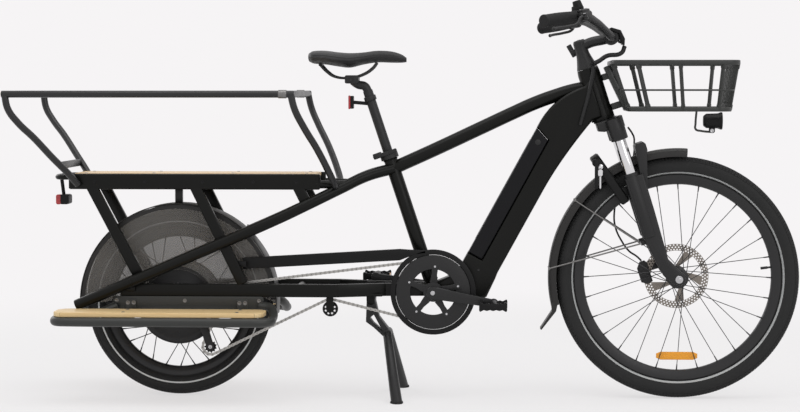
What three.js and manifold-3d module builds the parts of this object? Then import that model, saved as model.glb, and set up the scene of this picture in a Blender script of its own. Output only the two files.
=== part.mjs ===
// A longtail cargo bike in millimetres: X forward, Z up, the origin on the ground at mid length.
// The side towards -Y is the drive side, with the chain.
import * as THREE from 'three';
import { mergeVertices } from 'three/addons/utils/BufferGeometryUtils.js';
import Module from 'manifold-3d';

const wasm = await Module();
wasm.setup();

// Clearances and common small sizes
const gap = 0.3; // between pieces that touch
const overrun = 6; // how far a cut runs past the face it opens
const half = 0.5;
const fullTurn = 2 * Math.PI;
const degree = Math.PI / 180;
const drive = -1; // the sign of Y on the drive side
const off = 1; // and on the other side

// Wheels and axles
const frontWheel = {
  radius: 335, width: 56, bead: 279.5, rimInner: 257.5, rimWidth: 28, rimWall: 2.4, steps: 36,
  spokes: 28, spokeRadius: 1.1, flangeRadius: 29, flangeAt: 30, flangeThick: 5.4, crossShare: 0.17,
};
const rearWheel = {
  radius: 261, width: 60, bead: 203, rimInner: 182.5, rimWidth: 30, rimWall: 2.6, steps: 30,
  spokes: 28, spokeRadius: 1.3, flangeRadius: 117, flangeAt: 20, flangeThick: 5, crossShare: 0.035,
};
const wheelbase = 1387.5;
const frontAxle = { x: 749.5, z: frontWheel.radius };
const rearAxle = { x: frontAxle.x - wheelbase, z: rearWheel.radius };
const axleRadius = 6;

// Steering: the group of the fork stands on the point of the steering axis nearest the front axle
const headTilt = 17.7 * degree;
const rake = 63.5;
const steerFoot = {
  x: frontAxle.x - rake * Math.cos(headTilt),
  z: frontAxle.z - rake * Math.sin(headTilt),
};
const headTube = { low: 479, high: 626, radius: 31, flare: 33, flareHeight: 14, sides: 18 };
const steerer = { radius: 14, low: 446, top: 640 };
const stanchion = { ahead: 24, side: 66, radius: 16, low: 215, top: 470, sides: 14 };
const legBore = { clear: 0.7 };

// Frame sizes
const bracket = { x: 74.7, z: 295.4, radius: 24, halfWidth: 34 };
const seatTilt = 18.4 * degree;
const seatTube = { radius: 19, start: 25, length: 381, bore: 13.6, boreDepth: 240, sides: 16 };
const downTube = { tilt: 28.8 * degree, depth: 100, halfWidth: 36, footX: 137, footZ: 345, edge: 9 };
const stay = { radius: 15.5, sides: 8, steps: 11 };
const railSide = { inner: 77, outer: 95, edge: 2 };
const lowerRail = { low: 282, high: 318, rear: -790 };
const deckRail = { low: 579, high: 622, rear: -932, front: -236 };

const v = (x, y, z) => new THREE.Vector3(x, y, z);

// A closed geometry as a solid that can be joined and cut
function solid(geometry) {
  const bare = new THREE.BufferGeometry();
  bare.setAttribute('position', geometry.getAttribute('position'));
  if (geometry.index) bare.setIndex(geometry.index);
  const merged = mergeVertices(bare);
  const corners = merged.index.array;
  const faces = [];
  for (let i = 0; i < corners.length; i += 3) {
    const [a, b, c] = [corners[i], corners[i + 1], corners[i + 2]];
    if (a !== b && b !== c && c !== a) faces.push(a, b, c);
  }
  const build = (list) => new wasm.Manifold(new wasm.Mesh({
    numProp: 3,
    vertProperties: Float32Array.from(merged.attributes.position.array),
    triVerts: Uint32Array.from(list),
  }));
  const made = build(faces);
  if (made.volume() > 0) return made;
  const turned = [];
  for (let i = 0; i < faces.length; i += 3) turned.push(faces[i], faces[i + 2], faces[i + 1]);
  return build(turned);
}

const join = (first, ...others) => others.reduce((sum, part) => sum.add(part), first);
const cut = (first, ...others) => others.reduce((rest, part) => rest.subtract(part), first);

const bike = new THREE.Group();
const fork = new THREE.Group();
fork.position.set(steerFoot.x, 0, steerFoot.z);
fork.rotation.y = -headTilt;
bike.add(fork);
fork.updateMatrixWorld(true);

const finishes = {
  frame: { color: 0x1c1d1a, roughness: 0.42, metalness: 0.35 },
  satin: { color: 0x17181a, roughness: 0.5, metalness: 0.3 },
  plastic: { color: 0x141516, roughness: 0.6, metalness: 0 },
  smoke: { color: 0x34322e, roughness: 0.3, metalness: 0 },
  rubber: { color: 0x1b1b1b, roughness: 0.85, metalness: 0 },
  steel: { color: 0xa8a9ab, roughness: 0.3, metalness: 0.9 },
  chrome: { color: 0xd5d6d8, roughness: 0.12, metalness: 1 },
  wood: { color: 0xe0b478, roughness: 0.5, metalness: 0 },
  amber: { color: 0xf0a010, roughness: 0.25, metalness: 0 },
  red: { color: 0x8e1218, roughness: 0.25, metalness: 0 },
  leather: { color: 0x1a1a1b, roughness: 0.65, metalness: 0 },
};

// Adds a solid to the scene as a named mesh
function node(name, shape, finish, group = bike) {
  const { numProp, vertProperties, triVerts } = shape.getMesh();
  const places = new Float32Array((vertProperties.length / numProp) * 3);
  for (let i = 0; i < places.length / 3; i += 1) {
    places.set(vertProperties.subarray(i * numProp, i * numProp + 3), i * 3);
  }
  const geometry = new THREE.BufferGeometry();
  geometry.setAttribute('position', new THREE.BufferAttribute(places, 3));
  geometry.setIndex(new THREE.BufferAttribute(triVerts, 1));
  geometry.computeVertexNormals();
  const mesh = new THREE.Mesh(geometry, new THREE.MeshStandardMaterial(finishes[finish]));
  mesh.name = name;
  group.add(mesh);
  return shape;
}

// The same geometry as it stands in the fork's tilted group
const inFork = (geometry) => geometry.applyMatrix4(fork.matrixWorld);

// Turns a geometry that runs along +Y so that it runs from one point to another
function between(geometry, from, to) {
  const run = to.clone().sub(from);
  const turn = new THREE.Quaternion().setFromUnitVectors(v(0, 1, 0), run.clone().normalize());
  geometry.applyQuaternion(turn);
  const middle = from.clone().add(to).multiplyScalar(half);
  return geometry.translate(middle.x, middle.y, middle.z);
}

function rodGeometry(from, to, radius, sides, endRadius = radius) {
  const length = from.distanceTo(to);
  return between(new THREE.CylinderGeometry(endRadius, radius, length, sides), from, to);
}

const rod = (from, to, radius, sides = 10, endRadius = radius) => (
  solid(rodGeometry(from, to, radius, sides, endRadius)));

// A cylinder across the bike, between two values of Y
const crossRod = (x, z, yLow, yHigh, radius, sides = 16) => (
  rod(v(x, yLow, z), v(x, yHigh, z), radius, sides));

function boxGeometry(low, high) {
  const size = high.clone().sub(low);
  const middle = low.clone().add(high).multiplyScalar(half);
  return new THREE.BoxGeometry(size.x, size.y, size.z).translate(middle.x, middle.y, middle.z);
}

const box = (low, high) => solid(boxGeometry(low, high));

// Low and high corners of a box whose Y lies between two distances on one side of the bike
const sideBox = (side, xLow, xHigh, near, far, zLow, zHigh) => box(
  v(xLow, Math.min(side * near, side * far), zLow),
  v(xHigh, Math.max(side * near, side * far), zHigh),
);

function outlineShape(points) {
  return new THREE.Shape(points.map(([a, b]) => new THREE.Vector2(a, b)));
}

// An outline in X and Z, given thickness between two values of Y, with rounded edges if edge is set
function slabGeometry(shape, yLow, yHigh, edge = 0, curveSteps = 8) {
  const geometry = new THREE.ExtrudeGeometry(shape, {
    depth: yHigh - yLow - 2 * edge,
    curveSegments: curveSteps,
    steps: 1,
    bevelEnabled: edge > 0,
    bevelThickness: edge,
    bevelSize: edge,
    bevelOffset: -edge,
    bevelSegments: 1,
  });
  return geometry.rotateX(Math.PI / 2).translate(0, yHigh - edge, 0);
}

const slab = (shape, yLow, yHigh, edge = 0, curveSteps = 8) => (
  solid(slabGeometry(shape, yLow, yHigh, edge, curveSteps)));

// An outline in X and Y, given thickness between two heights
function plate(shape, zLow, zHigh, edge = 0, curveSteps = 4) {
  const geometry = new THREE.ExtrudeGeometry(shape, {
    depth: zHigh - zLow - 2 * edge,
    curveSegments: curveSteps,
    steps: 1,
    bevelEnabled: edge > 0,
    bevelThickness: edge,
    bevelSize: edge,
    bevelOffset: -edge,
    bevelSegments: 1,
  });
  return solid(geometry.translate(0, 0, zLow + edge));
}

function roundedRectangle(left, right, low, high, radius, path = new THREE.Shape()) {
  path.moveTo(left + radius, low);
  path.lineTo(right - radius, low);
  path.absarc(right - radius, low + radius, radius, -Math.PI / 2, 0);
  path.lineTo(right, high - radius);
  path.absarc(right - radius, high - radius, radius, 0, Math.PI / 2);
  path.lineTo(left + radius, high);
  path.absarc(left + radius, high - radius, radius, Math.PI / 2, Math.PI);
  path.lineTo(left, low + radius);
  path.absarc(left + radius, low + radius, radius, Math.PI, 1.5 * Math.PI);
  return path;
}

// Points along an arc about the origin, for outlines with their own number of steps
const arcPoints = (radius, start, end, steps) => Array.from({ length: steps + 1 }, (_, i) => {
  const angle = start + (end - start) * (i / steps);
  return new THREE.Vector2(radius * Math.cos(angle), radius * Math.sin(angle));
});
const circle = (radius, steps) => arcPoints(radius, 0, fullTurn, steps).slice(1);

// Part of a ring about a point of the side view
function arcBand(centre, inner, outer, start, end, yLow, yHigh, steps) {
  const shape = new THREE.Shape();
  shape.absarc(centre.x, centre.z, outer, start, end, false);
  shape.absarc(centre.x, centre.z, inner, end, start, true);
  return slab(shape, yLow, yHigh, 0, steps);
}

function ring(centre, inner, outer, yLow, yHigh, steps) {
  const shape = new THREE.Shape().absarc(centre.x, centre.z, outer, 0, fullTurn);
  shape.holes.push(new THREE.Path().absarc(centre.x, centre.z, inner, 0, fullTurn));
  return slab(shape, yLow, yHigh, 0, steps);
}

// A profile of radius and Y, turned about an axis that runs across the bike
const spun = (profile, steps) => solid(
  new THREE.LatheGeometry(profile.map(([radius, y]) => new THREE.Vector2(radius, y)), steps));

const closed = (profile) => [...profile, profile[0]];

// The profile mirrored in Y, so that only one half has to be written
const bothSides = (profile) => (
  [...profile.map(([radius, y]) => [radius, -y]), ...[...profile].reverse()]);

// A profile of radius and distance, turned about the line from one point towards another
function turned(profile, from, towards, steps) {
  const geometry = new THREE.LatheGeometry(
    profile.map(([radius, y]) => new THREE.Vector2(radius, y)), steps);
  const run = towards.clone().sub(from).normalize();
  geometry.applyQuaternion(new THREE.Quaternion().setFromUnitVectors(v(0, 1, 0), run));
  return solid(geometry.translate(from.x, from.y, from.z));
}

// A round tube along a smooth curve through the given points
function bentGeometry(points, radius, sides, steps) {
  const section = new THREE.Shape();
  for (let i = 0; i < sides; i += 1) {
    const a = (i / sides) * fullTurn;
    const place = [radius * Math.cos(a), radius * Math.sin(a)];
    if (i) section.lineTo(...place);
    else section.moveTo(...place);
  }
  const extrudePath = new THREE.CatmullRomCurve3(points, false, 'centripetal');
  return new THREE.ExtrudeGeometry(section, { steps, extrudePath, curveSegments: 1 });
}

const bent = (points, radius, sides, steps) => solid(bentGeometry(points, radius, sides, steps));

// A straight bar with an upright rectangular section and small chamfers
function bar(from, to, width, height, edge = 1.5) {
  const [w, h] = [width * half, height * half];
  const section = outlineShape(edge === 0 ? [[-w, -h], [w, -h], [w, h], [-w, h]] : [
    [edge - w, -h], [w - edge, -h], [w, edge - h], [w, h - edge],
    [w - edge, h], [edge - w, h], [-w, h - edge], [-w, edge - h],
  ]);
  const run = to.clone().sub(from);
  const geometry = new THREE.ExtrudeGeometry(section, { depth: run.length(), bevelEnabled: false });
  const along = run.normalize();
  const across = v(0, 0, 1).cross(along).normalize();
  if (across.lengthSq() < half) across.set(0, 1, 0);
  const up = along.clone().cross(across);
  const basis = new THREE.Matrix4().makeBasis(across, up, along).setPosition(from);
  return solid(geometry.applyMatrix4(basis));
}

const mirrored = (point) => v(point.x, -point.y, point.z);
const onSide = (side, point) => (side < 0 ? mirrored(point) : point.clone());

// A point on the seat tube's axis at a distance from the bottom bracket
const seatLine = (distance, y = 0) => v(
  bracket.x - distance * Math.sin(seatTilt), y, bracket.z + distance * Math.cos(seatTilt));

// Wheels: tyre, rim, and a hub with its spokes
function tyreSolid(w) {
  const seat = w.rimWidth * half - w.rimWall - gap;
  const h = w.width * half;
  const rise = w.radius - w.bead;
  return spun(closed(bothSides([
    [w.radius, h * 0.3], [w.radius - rise * 0.17, h * 0.8], [w.radius - rise * 0.46, h],
    [w.radius - rise * 0.86, seat], [w.bead + gap, seat],
  ])), w.steps);
}

function rimSolid(w) {
  const h = w.rimWidth * half;
  const lip = (w.radius - w.bead) * 0.08;
  return spun(closed(bothSides([
    [w.bead, h - w.rimWall], [w.bead + lip, h - w.rimWall], [w.bead + lip, h],
    [w.rimInner, h * 0.5],
  ])), w.steps);
}

function spokeSolids(w) {
  return Array.from({ length: w.spokes }, (_, i) => {
    const side = i % 2 ? 1 : -1;
    const lean = i % 4 < 2 ? 1 : -1;
    const rimAngle = (i / w.spokes) * fullTurn;
    const hubAngle = rimAngle + lean * w.crossShare * fullTurn;
    const sunk = w.flangeRadius - w.flangeThick;
    const out = w.flangeAt + lean * w.flangeThick * 0.27;
    const reach = w.rimInner * Math.cos(Math.PI / w.steps) - 2 * gap;
    return rod(
      v(sunk * Math.cos(hubAngle), side * out, sunk * Math.sin(hubAngle)),
      v(reach * Math.cos(rimAngle), side * w.rimWidth * 0.08, reach * Math.sin(rimAngle)),
      w.spokeRadius, 3,
    );
  });
}

function atAxle(axle) {
  const group = new THREE.Group();
  group.position.set(axle.x, 0, axle.z);
  bike.add(group);
  return group;
}

const frontHub = {
  body: 24, waist: 19, end: 14, endAt: 46, bore: axleRadius + gap, steps: 14, discSeat: 39.7,
};
const disc = {
  radius: 90, inner: 71, carrier: 30, bore: 15, at: 41, thick: 2, arms: 5, armShare: 0.3,
  leanShare: 0.3, turnShare: 0,
};
const reflector = { down: 219, halfLength: 57, halfHeight: 11, thick: 7, tipShare: 0.55 };

function buildFrontWheel() {
  const w = frontWheel;
  const hub = frontHub;
  const group = atAxle(frontAxle);
  node('front_tyre', tyreSolid(w), 'rubber', group);
  node('front_rim', rimSolid(w), 'satin', group);
  const flangeOut = w.flangeAt + w.flangeThick * half;
  const flangeIn = w.flangeAt - w.flangeThick * half;
  const body = spun(closed(bothSides([
    [hub.body, flangeIn * 0.5], [hub.waist, flangeIn], [w.flangeRadius, flangeIn],
    [w.flangeRadius, flangeOut], [hub.waist, flangeOut], [hub.waist, hub.discSeat],
    [hub.end, hub.discSeat], [hub.end, hub.endAt], [hub.bore, hub.endAt],
  ])), hub.steps);
  node('front_hub', join(body, ...spokeSolids(w)), 'steel', group);
  const rotor = windowedDisc(disc, disc.at - disc.thick * half, disc.at + disc.thick * half);
  node('front_disc', rotor, 'chrome', group);
  node('wheel_reflector', reflectorSolid(), 'amber', group);
}

// A disc with slanted arms: the windows between its rim and its middle are left out of one plate
function windowedDisc(d, low, high) {
  const shape = new THREE.Shape(circle(d.radius, 28));
  if (d.bore) shape.holes.push(new THREE.Path(circle(d.bore, 14)));
  for (let i = 0; i < d.arms; i += 1) {
    const start = ((i + d.turnShare) / d.arms) * fullTurn;
    const width = (1 - d.armShare) * (fullTurn / d.arms);
    const lean = d.leanShare * (fullTurn / d.arms);
    shape.holes.push(new THREE.Path([
      ...arcPoints(d.inner, start, start + width, 5),
      ...arcPoints(d.carrier, start + width + lean, start + lean, 2),
    ]));
  }
  return slab(shape, low, high);
}

function reflectorSolid() {
  const r = reflector;
  const outline = outlineShape([
    [-r.halfLength, -r.halfHeight * r.tipShare], [-r.halfLength * 0.8, -r.halfHeight],
    [r.halfLength * 0.8, -r.halfHeight], [r.halfLength, -r.halfHeight * r.tipShare],
    [r.halfLength, r.halfHeight * r.tipShare], [r.halfLength * 0.8, r.halfHeight],
    [-r.halfLength * 0.8, r.halfHeight], [-r.halfLength, r.halfHeight * r.tipShare],
  ]);
  const body = slab(outline, -r.thick * half, r.thick * half, 1).translate([0, 0, -r.down]);
  return cut(body, ...spokeCutters(frontWheel));
}

// The spokes a little thicker, to cut grooves for them
const spokeCutters = (w) => spokeSolids({ ...w, spokeRadius: w.spokeRadius + gap });

const rearHub = {
  halfWidth: 37, shoulder: 27, shoulderShare: 0.9, boss: 20, bossAt: 64, rotor: 71,
  rotorAt: 52, rotorThick: 2.2, bore: axleRadius + gap, steps: 20, driveBossAt: 39.5,
};

function buildRearWheel() {
  const w = rearWheel;
  const hub = rearHub;
  const group = atAxle(rearAxle);
  node('rear_tyre', tyreSolid(w), 'rubber', group);
  node('rear_rim', rimSolid(w), 'satin', group);
  const body = spun([
    [hub.bore, drive * hub.driveBossAt], [hub.boss, drive * hub.driveBossAt],
    [hub.boss, drive * hub.halfWidth], [w.flangeRadius * hub.shoulderShare, drive * hub.halfWidth],
    [w.flangeRadius, drive * hub.shoulder], [w.flangeRadius, hub.shoulder],
    [w.flangeRadius * hub.shoulderShare, hub.halfWidth], [hub.boss, hub.halfWidth],
    [hub.boss, hub.rotorAt - hub.rotorThick * half],
    [hub.rotor, hub.rotorAt - hub.rotorThick * half],
    [hub.rotor, hub.rotorAt + hub.rotorThick * half],
    [hub.boss, hub.rotorAt + hub.rotorThick * half],
    [hub.boss * 0.7, hub.bossAt], [hub.bore, hub.bossAt], [hub.bore, drive * hub.driveBossAt],
  ], hub.steps);
  node('rear_hub', join(body, ...spokeSolids(w)), 'satin', group);
}

buildFrontWheel();
buildRearWheel();

// Drive: pitch circles in the side view, the chain laid round them
const chainPitch = 12.7;
const pitchRadius = (teeth) => chainPitch * half / Math.sin(Math.PI / teeth);
const chainLine = -50;
const chainSize = { halfHeight: 4.3, halfWidth: 3.2 };
const ringTeeth = 44;
const cogTeeth = 16;
const jockeyTeeth = 11;
const idlerTeeth = 13;
const upperJockey = { x: -566, z: 203 };
const lowerJockey = { x: -546, z: 139 };
const idlerAt = { x: -211, z: 247 };

// Wheels in the order the chain meets them; turn is 1 where it wraps a wheel anticlockwise
const chainWheels = [
  { at: bracket, radius: pitchRadius(ringTeeth), turn: -1 },
  { at: idlerAt, radius: pitchRadius(idlerTeeth), turn: 1 },
  { at: lowerJockey, radius: pitchRadius(jockeyTeeth), turn: -1 },
  { at: upperJockey, radius: pitchRadius(jockeyTeeth), turn: 1 },
  { at: rearAxle, radius: pitchRadius(cogTeeth), turn: -1 },
];

// The angle at which the straight run from one wheel to the next leaves and arrives
function tangentAngle(a, b) {
  const run = new THREE.Vector2(b.at.x - a.at.x, b.at.z - a.at.z);
  return run.angle() - Math.asin((b.turn * b.radius - a.turn * a.radius) / run.length());
}

function chainPath() {
  const path = new THREE.CurvePath();
  const count = chainWheels.length;
  const leave = chainWheels.map((w, i) => tangentAngle(w, chainWheels[(i + 1) % count]));
  const side = (w, angle) => angle - w.turn * Math.PI * half;
  const point = (w, angle) => new THREE.Vector2(
    w.at.x + w.radius * Math.cos(angle), w.at.z + w.radius * Math.sin(angle));
  chainWheels.forEach((w, i) => {
    const before = leave[(i + count - 1) % count];
    const [start, end] = [side(w, before), side(w, leave[i])];
    path.add(new THREE.EllipseCurve(w.at.x, w.at.z, w.radius, w.radius, start, end, w.turn < 0));
    const next = chainWheels[(i + 1) % count];
    path.add(new THREE.LineCurve(point(w, end), point(next, side(next, leave[i]))));
  });
  return path;
}

// The chain as a closed ribbon round its wheels, bending about once a link
function chainSolid() {
  const points = chainPath().curves.flatMap((curve) => {
    const bends = curve.isLineCurve ? 1 : Math.max(3, Math.round(curve.getLength() / (0.8 * chainPitch)));
    return curve.getPoints(bends).slice(1);
  });
  const count = points.length;
  const edge = (reach) => points.map((point, i) => {
    const run = points[(i + 1) % count].clone().sub(points[(i + count - 1) % count]).normalize();
    return new THREE.Vector2(point.x - run.y * reach, point.y + run.x * reach);
  });
  const [outer, inner] = [edge(chainSize.halfHeight), edge(-chainSize.halfHeight)];
  const shape = new THREE.Shape(outer.reverse());
  shape.holes.push(new THREE.Path(inner));
  return slab(shape, chainLine - chainSize.halfWidth, chainLine + chainSize.halfWidth);
}

// A toothed disc's outline: each tooth has a root, a shoulder and a tip
function toothedOutline(teeth, tip, root) {
  const points = [];
  for (let i = 0; i < teeth; i += 1) {
    const places = teeth > 20 ? [[root, 0.2], [tip, 0.7]] : [[root, 0.1], [root, 0.45], [tip, 0.78]];
    places.forEach(([radius, share]) => {
      const angle = ((i + share) / teeth) * fullTurn;
      points.push([radius * Math.cos(angle), radius * Math.sin(angle)]);
    });
  }
  return points;
}

const tipOf = (teeth) => pitchRadius(teeth) - chainSize.halfHeight - 2 * gap;

function toothedDisc(teeth, inner, thick, depth, holeSteps = 10) {
  const shape = outlineShape(toothedOutline(teeth, tipOf(teeth), tipOf(teeth) - depth));
  shape.holes.push(new THREE.Path().absarc(0, 0, inner, 0, fullTurn));
  return slab(shape, chainLine - thick * half, chainLine + thick * half, 0, holeSteps);
}

const crank = {
  length: 170, angle: -9.7 * degree, hub: 17, tip: 11, eye: 14, thick: 14, inner: 76, bore: 9,
  guardLow: -60, guardHigh: -56, ringInner: 66, ringThick: 3, toothDepth: 5, axle: 8.5, bolt: 5,
  boltAt: 71,
};
const spider = {
  radius: 101, inner: 77, carrier: 30, arms: 5, armShare: 0.22, leanShare: 0, turnShare: 0.3,
};

// A crank arm, from the middle of the bottom bracket to the pedal, with its faces between two Y
function crankArm(angle, yLow, yHigh) {
  const end = v(crank.length * Math.cos(angle), 0, crank.length * Math.sin(angle));
  const side = v(-Math.sin(angle), 0, Math.cos(angle));
  const shape = outlineShape([
    [side.x * crank.hub, side.z * crank.hub],
    [end.x + side.x * crank.tip, end.z + side.z * crank.tip],
    [end.x - side.x * crank.tip, end.z - side.z * crank.tip],
    [-side.x * crank.hub, -side.z * crank.hub],
  ]);
  return cut(
    join(
      slab(shape, yLow, yHigh, 2), crossRod(0, 0, yLow, yHigh, crank.hub, 14),
      crossRod(end.x, end.z, yLow, yHigh, crank.eye, 12)),
    crossRod(end.x, end.z, yLow - overrun, yHigh + overrun, crank.bore, 12),
  );
}

function buildDrive() {
  const group = atAxle(bracket);
  const c = crank;
  node('chain', chainSolid(), 'steel');
  const guard = windowedDisc(spider, c.guardLow, c.guardHigh);
  const boss = crossRod(0, 0, -c.inner - overrun, c.guardHigh, c.hub, 14);
  const right = join(crankArm(c.angle, -c.inner - c.thick, -c.inner), boss, guard);
  const bore = crossRod(0, 0, -c.inner, c.guardHigh + overrun, c.axle + gap, 16);
  node('crank_right', cut(right, bore), 'satin', group);
  const bolts = Array.from({ length: spider.arms }, (_, i) => {
    const angle = ((i + spider.turnShare - spider.armShare * half) / spider.arms) * fullTurn;
    return crossRod(
      c.boltAt * Math.cos(angle), c.boltAt * Math.sin(angle),
      c.guardHigh + gap, chainLine, c.bolt, 6);
  });
  const teeth = toothedDisc(ringTeeth, c.ringInner, c.ringThick, c.toothDepth);
  node('chainring', join(teeth, ...bolts), 'steel', group);
  const axle = crossRod(0, 0, -c.inner + gap, c.inner + overrun, c.axle, 16);
  const left = join(crankArm(c.angle + Math.PI, c.inner, c.inner + c.thick), axle);
  node('crank_left', left, 'satin', group);
  buildPedal('pedal_right', drive, c.angle, group);
  buildPedal('pedal_left', off, c.angle + Math.PI, group);
  const idlerGroup = atAxle(idlerAt);
  node('idler', idlerSolid(), 'plastic', idlerGroup);
  node('cassette', cassetteSolid(), 'steel', atAxle(rearAxle));
}

// A cage pedal: its spindle runs in the crank's bore, and its two toothed plates flank the body
const pedal = {
  spindle: 8.6, start: 78, reach: 96, bodyRadius: 12, bodyFrom: 96, bodyTo: 182,
  halfLength: 38, halfHeight: 13, plate: 5, teethShare: 0.6, ribAt: 30,
};

function buildPedal(name, side, angle, group) {
  const p = pedal;
  const x = crank.length * Math.cos(angle);
  const z = crank.length * Math.sin(angle);
  const spindle = rod(v(x, side * p.start, z), v(x, side * p.bodyTo, z), p.spindle, 12);
  const body = rod(v(x, side * p.bodyFrom, z), v(x, side * p.bodyTo, z), p.bodyRadius, 12);
  const cages = [p.bodyFrom, p.bodyTo - p.plate].map((y) => {
    const outline = outlineShape([
      [-p.halfLength, -p.halfHeight], [-p.halfLength * 0.4, -p.halfHeight * p.teethShare],
      [p.halfLength * 0.4, -p.halfHeight * p.teethShare], [p.halfLength, -p.halfHeight],
      [p.halfLength, p.halfHeight], [p.halfLength * 0.4, p.halfHeight * p.teethShare],
      [-p.halfLength * 0.4, p.halfHeight * p.teethShare], [-p.halfLength, p.halfHeight],
    ]);
    const [low, high] = side > 0 ? [y, y + p.plate] : [-y - p.plate, -y];
    return slab(outline, low, high).translate([x, 0, z]);
  });
  const ribs = [-1, 1].map((end) => {
    const [a, b] = [x + end * p.ribAt, x + end * (p.halfLength - p.plate * half)];
    return sideBox(
      side, Math.min(a, b), Math.max(a, b), p.bodyFrom, p.bodyTo,
      z - p.halfHeight * p.teethShare, z + p.halfHeight * p.teethShare);
  });
  node(name, join(spindle, body, ...cages, ...ribs), 'plastic', group);
}

const idlerSize = { bore: 5.7, thick: 9, holes: 8, holeRadius: 3.4, holeAt: 13.5 };

function idlerSolid() {
  const outer = tipOf(idlerTeeth);
  const shape = new THREE.Shape(circle(outer, 22));
  shape.holes.push(new THREE.Path(circle(idlerSize.bore, 8)));
  for (let i = 0; i < idlerSize.holes; i += 1) {
    const angle = (i / idlerSize.holes) * fullTurn;
    const at = new THREE.Vector2(Math.cos(angle), Math.sin(angle)).multiplyScalar(idlerSize.holeAt);
    shape.holes.push(new THREE.Path(circle(idlerSize.holeRadius, 5).map((p) => p.add(at))));
  }
  const t = idlerSize.thick * half;
  return slab(shape, chainLine - t, chainLine + t, 0, 5);
}

const cassette = {
  bore: axleRadius + gap, inner: 41, outer: 61, body: 22, cogThick: 2, largerTeeth: [30, 23],
};

function cassetteSolid() {
  const c = cassette;
  const steps = c.largerTeeth.map(tipOf);
  const core = spun(closed([
    [c.bore, -c.inner], [steps[0], -c.inner], [steps[0], -c.inner - c.cogThick],
    [steps[1], -c.inner - c.cogThick], [steps[1], -c.inner - 2 * c.cogThick],
    [c.body, -c.inner - 2 * c.cogThick], [c.body, -c.outer], [c.bore, -c.outer],
  ]), 18);
  return join(core, toothedDisc(cogTeeth, c.body - overrun, c.cogThick, 4, 4));
}

buildDrive();

// The frame's tubes
const tubeAlong = (along, across) => [
  downTube.footX + along * Math.sin(downTube.tilt) + across * Math.cos(downTube.tilt),
  downTube.footZ + along * Math.cos(downTube.tilt) - across * Math.sin(downTube.tilt),
];
const steerPoint = (ahead, along) => [
  steerFoot.x + ahead * Math.cos(headTilt) - along * Math.sin(headTilt),
  steerFoot.z + ahead * Math.sin(headTilt) + along * Math.cos(headTilt),
];
const battery = { from: 68, to: 462, deep: 45, edge: 5, tipShare: 0.35, halfWidth: 35 };

function batteryOutline(grow) {
  const b = battery;
  const [outside, inside] = [grow ? -overrun : 0, b.deep + grow];
  const upper = (across) => tubeAlong(b.to + 2 * grow - across * b.tipShare, across);
  return outlineShape([
    tubeAlong(b.from - grow, outside), upper(outside), upper(inside), tubeAlong(b.from - grow, inside),
  ]);
}

function headTubeSolid() {
  const h = headTube;
  const profile = [
    [0, h.low], [h.flare, h.low], [h.flare, h.low + h.flareHeight], [h.radius, h.low + 2 * h.flareHeight],
    [h.radius, h.high - h.flareHeight], [h.radius * 0.94, h.high], [0, h.high],
  ];
  const geometry = new THREE.LatheGeometry(profile.map(([r, y]) => new THREE.Vector2(r, y)), h.sides);
  return solid(inFork(geometry.rotateX(Math.PI / 2)));
}

const steererCut = () => solid(inFork(rodGeometry(
  v(0, 0, headTube.low - overrun), v(0, 0, headTube.high + overrun),
  steerer.radius + gap, headTube.sides)));

function downTubeBody() {
  const d = downTube;
  const foot = { ahead: 246, toe: 222, toeZ: 280, heelZ: 271 };
  const shape = new THREE.Shape();
  shape.moveTo(...tubeAlong(0, 0));
  shape.lineTo(...tubeAlong(485, 0));
  shape.quadraticCurveTo(...tubeAlong(566, 4), ...steerPoint(-headTube.radius * 0.7, headTube.high - 44));
  shape.lineTo(...steerPoint(0, headTube.high - 26));
  shape.lineTo(...steerPoint(0, headTube.low + 6));
  shape.lineTo(...steerPoint(-headTube.radius, headTube.low + 6));
  shape.quadraticCurveTo(...tubeAlong(420, d.depth), ...tubeAlong(320, d.depth));
  shape.lineTo(...tubeAlong(58, d.depth));
  shape.lineTo(foot.ahead, d.footZ - 14);
  shape.lineTo(foot.toe, foot.toeZ);
  shape.lineTo(foot.toe - 20, foot.heelZ);
  shape.lineTo(bracket.x, bracket.z - bracket.radius);
  shape.lineTo(bracket.x, bracket.z + bracket.radius);
  shape.closePath();
  return slab(shape, -d.halfWidth, d.halfWidth, d.edge, 6);
}

function buildMainFrame() {
  const shell = crossRod(bracket.x, bracket.z, -bracket.halfWidth, bracket.halfWidth, bracket.radius, 18);
  const shellBore = crossRod(
    bracket.x, bracket.z, -bracket.halfWidth - overrun, bracket.halfWidth + overrun,
    crank.axle + gap, 16);
  const pocket = slab(batteryOutline(gap), -downTube.halfWidth - overrun, downTube.halfWidth + overrun);
  const seatCut = seatTubeCutter();
  const down = cut(join(downTubeBody(), shell, headTubeSolid()), shellBore, steererCut(), pocket, seatCut);
  node('down_tube', down, 'frame');
  node('battery', slab(batteryOutline(0), -battery.halfWidth, battery.halfWidth, battery.edge), 'plastic');
  const topPoints = [
    seatLine(362), v(82.8, 0, 696.5), v(202, 0, 762), v(300, 0, 804), v(400, 0, 836), v(470, 0, 852),
  ];
  const top = cut(
    bent(topPoints, topTube.radius, topTube.sides, topTube.steps), seatTubeCutter(),
    down, down.translate([-gap, 0, gap]), down.translate([0, 0, gap]), headCutter(), pocket);
  node('top_tube', largest(top), 'frame');
  buildSeatTube();
  return down;
}

const topTube = { radius: 18.5, sides: 12, steps: 8 };

const headCutter = () => solid(inFork(rodGeometry(
  v(0, 0, headTube.low - overrun), v(0, 0, headTube.high + overrun),
  headTube.radius + gap, headTube.sides)));

// The biggest body of a solid, where a cut leaves loose crumbs
const largest = (shape) => shape.decompose().reduce((a, b) => (a.volume() > b.volume() ? a : b));

const seatTubeCutter = (grow = 2 * gap) => rod(
  seatLine(0), seatLine(seatTube.start + seatTube.length + overrun), seatTube.radius + grow, 16);

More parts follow.
